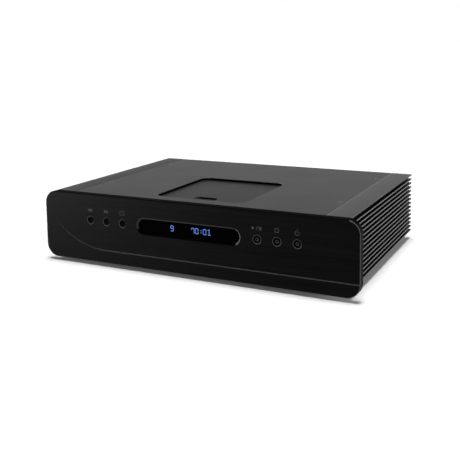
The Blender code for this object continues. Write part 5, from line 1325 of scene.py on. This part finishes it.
def main():
    add_camera()
    brushed = brushed_black("brushed_black_anodising", 0.0008, 0.0026, 0.019)
    # A darker copy of the brushed finish, painted shade on the faceplate's top face
    brushed_top = brushed_black("brushed_black_top", 0.0008, 0.002, 0.001)
    blasted = blasted_black("blasted_black_anodising", 0.095, 0.005, 0.009)
    plate_side = blasted_black("plate_side_anodising", 0.008, 0.0008, 0.002)
    lid_black = blasted_black("lid_black_anodising", 0.050, 0.004, 0.008)
    extrusion = extruded_black("extruded_black_anodising", 0.125, 0.005, 0.013)
    # The left extrusion is the mirror of the right one, in a darker copy of its finish as painted shade
    left_extrusion = extruded_black("left_extruded_black_anodising", 0.030, 0.004, 0.009)
    shaded = extruded_black("shaded_extrusion", 0.02, 0.002, 0.005)
    # A lighter copy of the edge finish, a painted highlight on the fins' noses
    fin_tip = cut_edge("fin_tip_anodising", 0.018, 0.030, 0.42)
    edge = cut_edge("cut_edge_anodising", 0.016, 0.026, 0.16)
    # A lighter and a darker copy of the edge finish, for painted highlight and painted shade on edges
    bright_edge = cut_edge("bright_edge_anodising", 0.045, 0.065, 0.16)
    dark_edge = cut_edge("dark_edge_anodising", 0.0006, 0.0014, 0.002)
    # Painted highlight for the groove's walls, fainter along its arc
    groove_edge = cut_edge("groove_anodising", 0.036, 0.056, 0.14)
    faint_groove = cut_edge("faint_groove_anodising", 0.027, 0.042, 0.12)
    bare_edge_and_highlight = cut_edge("bare_metal_edge", 0.10, 0.14, 0.26)
    plastic = moulded("black_moulding", 0.010, 0.020)
    steel = plated_steel()
    gold = polished("gold_plating", (0.62, 0.42, 0.14), (0.86, 0.64, 0.30))
    nickel = polished("nickel_plating", (0.50, 0.49, 0.47), (0.68, 0.67, 0.64), 0.2)
    black_rubber = rubber()
    copies = set_out_recipe()

    make_faceplate([brushed, dark_edge, edge, groove_edge, brushed_top, plate_side, bright_edge, faint_groove])
    key_face = blasted_black("key_black_anodising", 0.004, 0.0005, 0.0015)
    # A lighter copy of the edge finish, a painted highlight ring on the right keys
    key_ring = cut_edge("key_ring_anodising", 0.012, 0.022, 0.08)
    for name in KEYS:
        make_key(name, key_face, key_ring)
    make_window(smoked_window())
    make_figures(lit_segments())
    make_marks(engraved_mark("faint_laser_mark", 0.004, 0.009), engraved_mark("laser_mark", 0.011, 0.020))

    make_top_cover(blasted, edge, bare_edge_and_highlight, dark_edge)
    make_lid(lid_black, cut_edge("finger_pull_anodising", 0.022, 0.032, 0.10))
    # The cover screws take the lighter edge copy, a painted highlight on their heads
    make_cover_screws(bright_edge, copies)
    fins = fin_recipe()
    make_side_extrusion(-1, "left_heatsink", left_extrusion, edge, shaded, fin_tip, fins)
    make_side_extrusion(1, "right_heatsink", extrusion, edge, shaded, fin_tip, fins)
    make_feet(black_rubber, copies)

    make_rear_screws(edge, copies)
    make_round_socket("analog_output_left", gold, moulded("white_insulator", 0.62, 0.74), "white_plastic")
    red = moulded("red_insulator", (0.42, 0.02, 0.015), (0.55, 0.035, 0.025))
    make_round_socket("analog_output_right", gold, red, "white_plastic")
    make_round_socket("digital_output_coax", gold, plastic, "black_plastic")
    make_inlet(plastic, nickel, copies)
    white_print = engraved_mark("white_print", 0.55, 0.70)
    make_rocker_marks(white_print)
    make_rear_labels(white_print)
    make_shutter(moulded("grey_moulding", 0.10, 0.14))

    make_well(moulded("well_moulding", 0.014, 0.024, 0.5, 1200.0, 0.00004))
    make_hub_and_puck(plastic, blasted_black("puck_anodising", 0.40, 0.012, 0.022), black_rubber, ridge_recipe())
    make_lens(coated_lens(middle_of("objective_lens")))
    coat_the_inside(plastic, steel, black_rubber)

    make_floor()
    light_the_room()
    add_lamp("overhead", "SUN", (0.05, -0.04, 3.0), (0, 0, 0), 3.6, math.radians(23))
    add_lamp("front_left", "AREA", (-1.6, -1.5, 0.07), (-0.1, -0.15, 0.06), 58, 0.12)
    add_lamp("right", "AREA", (1.3, 0.3, 0.30), (0.2, 0.0, 0.04), 7, 0.4)
    bpy.context.scene.view_settings.view_transform = "Standard"


main()
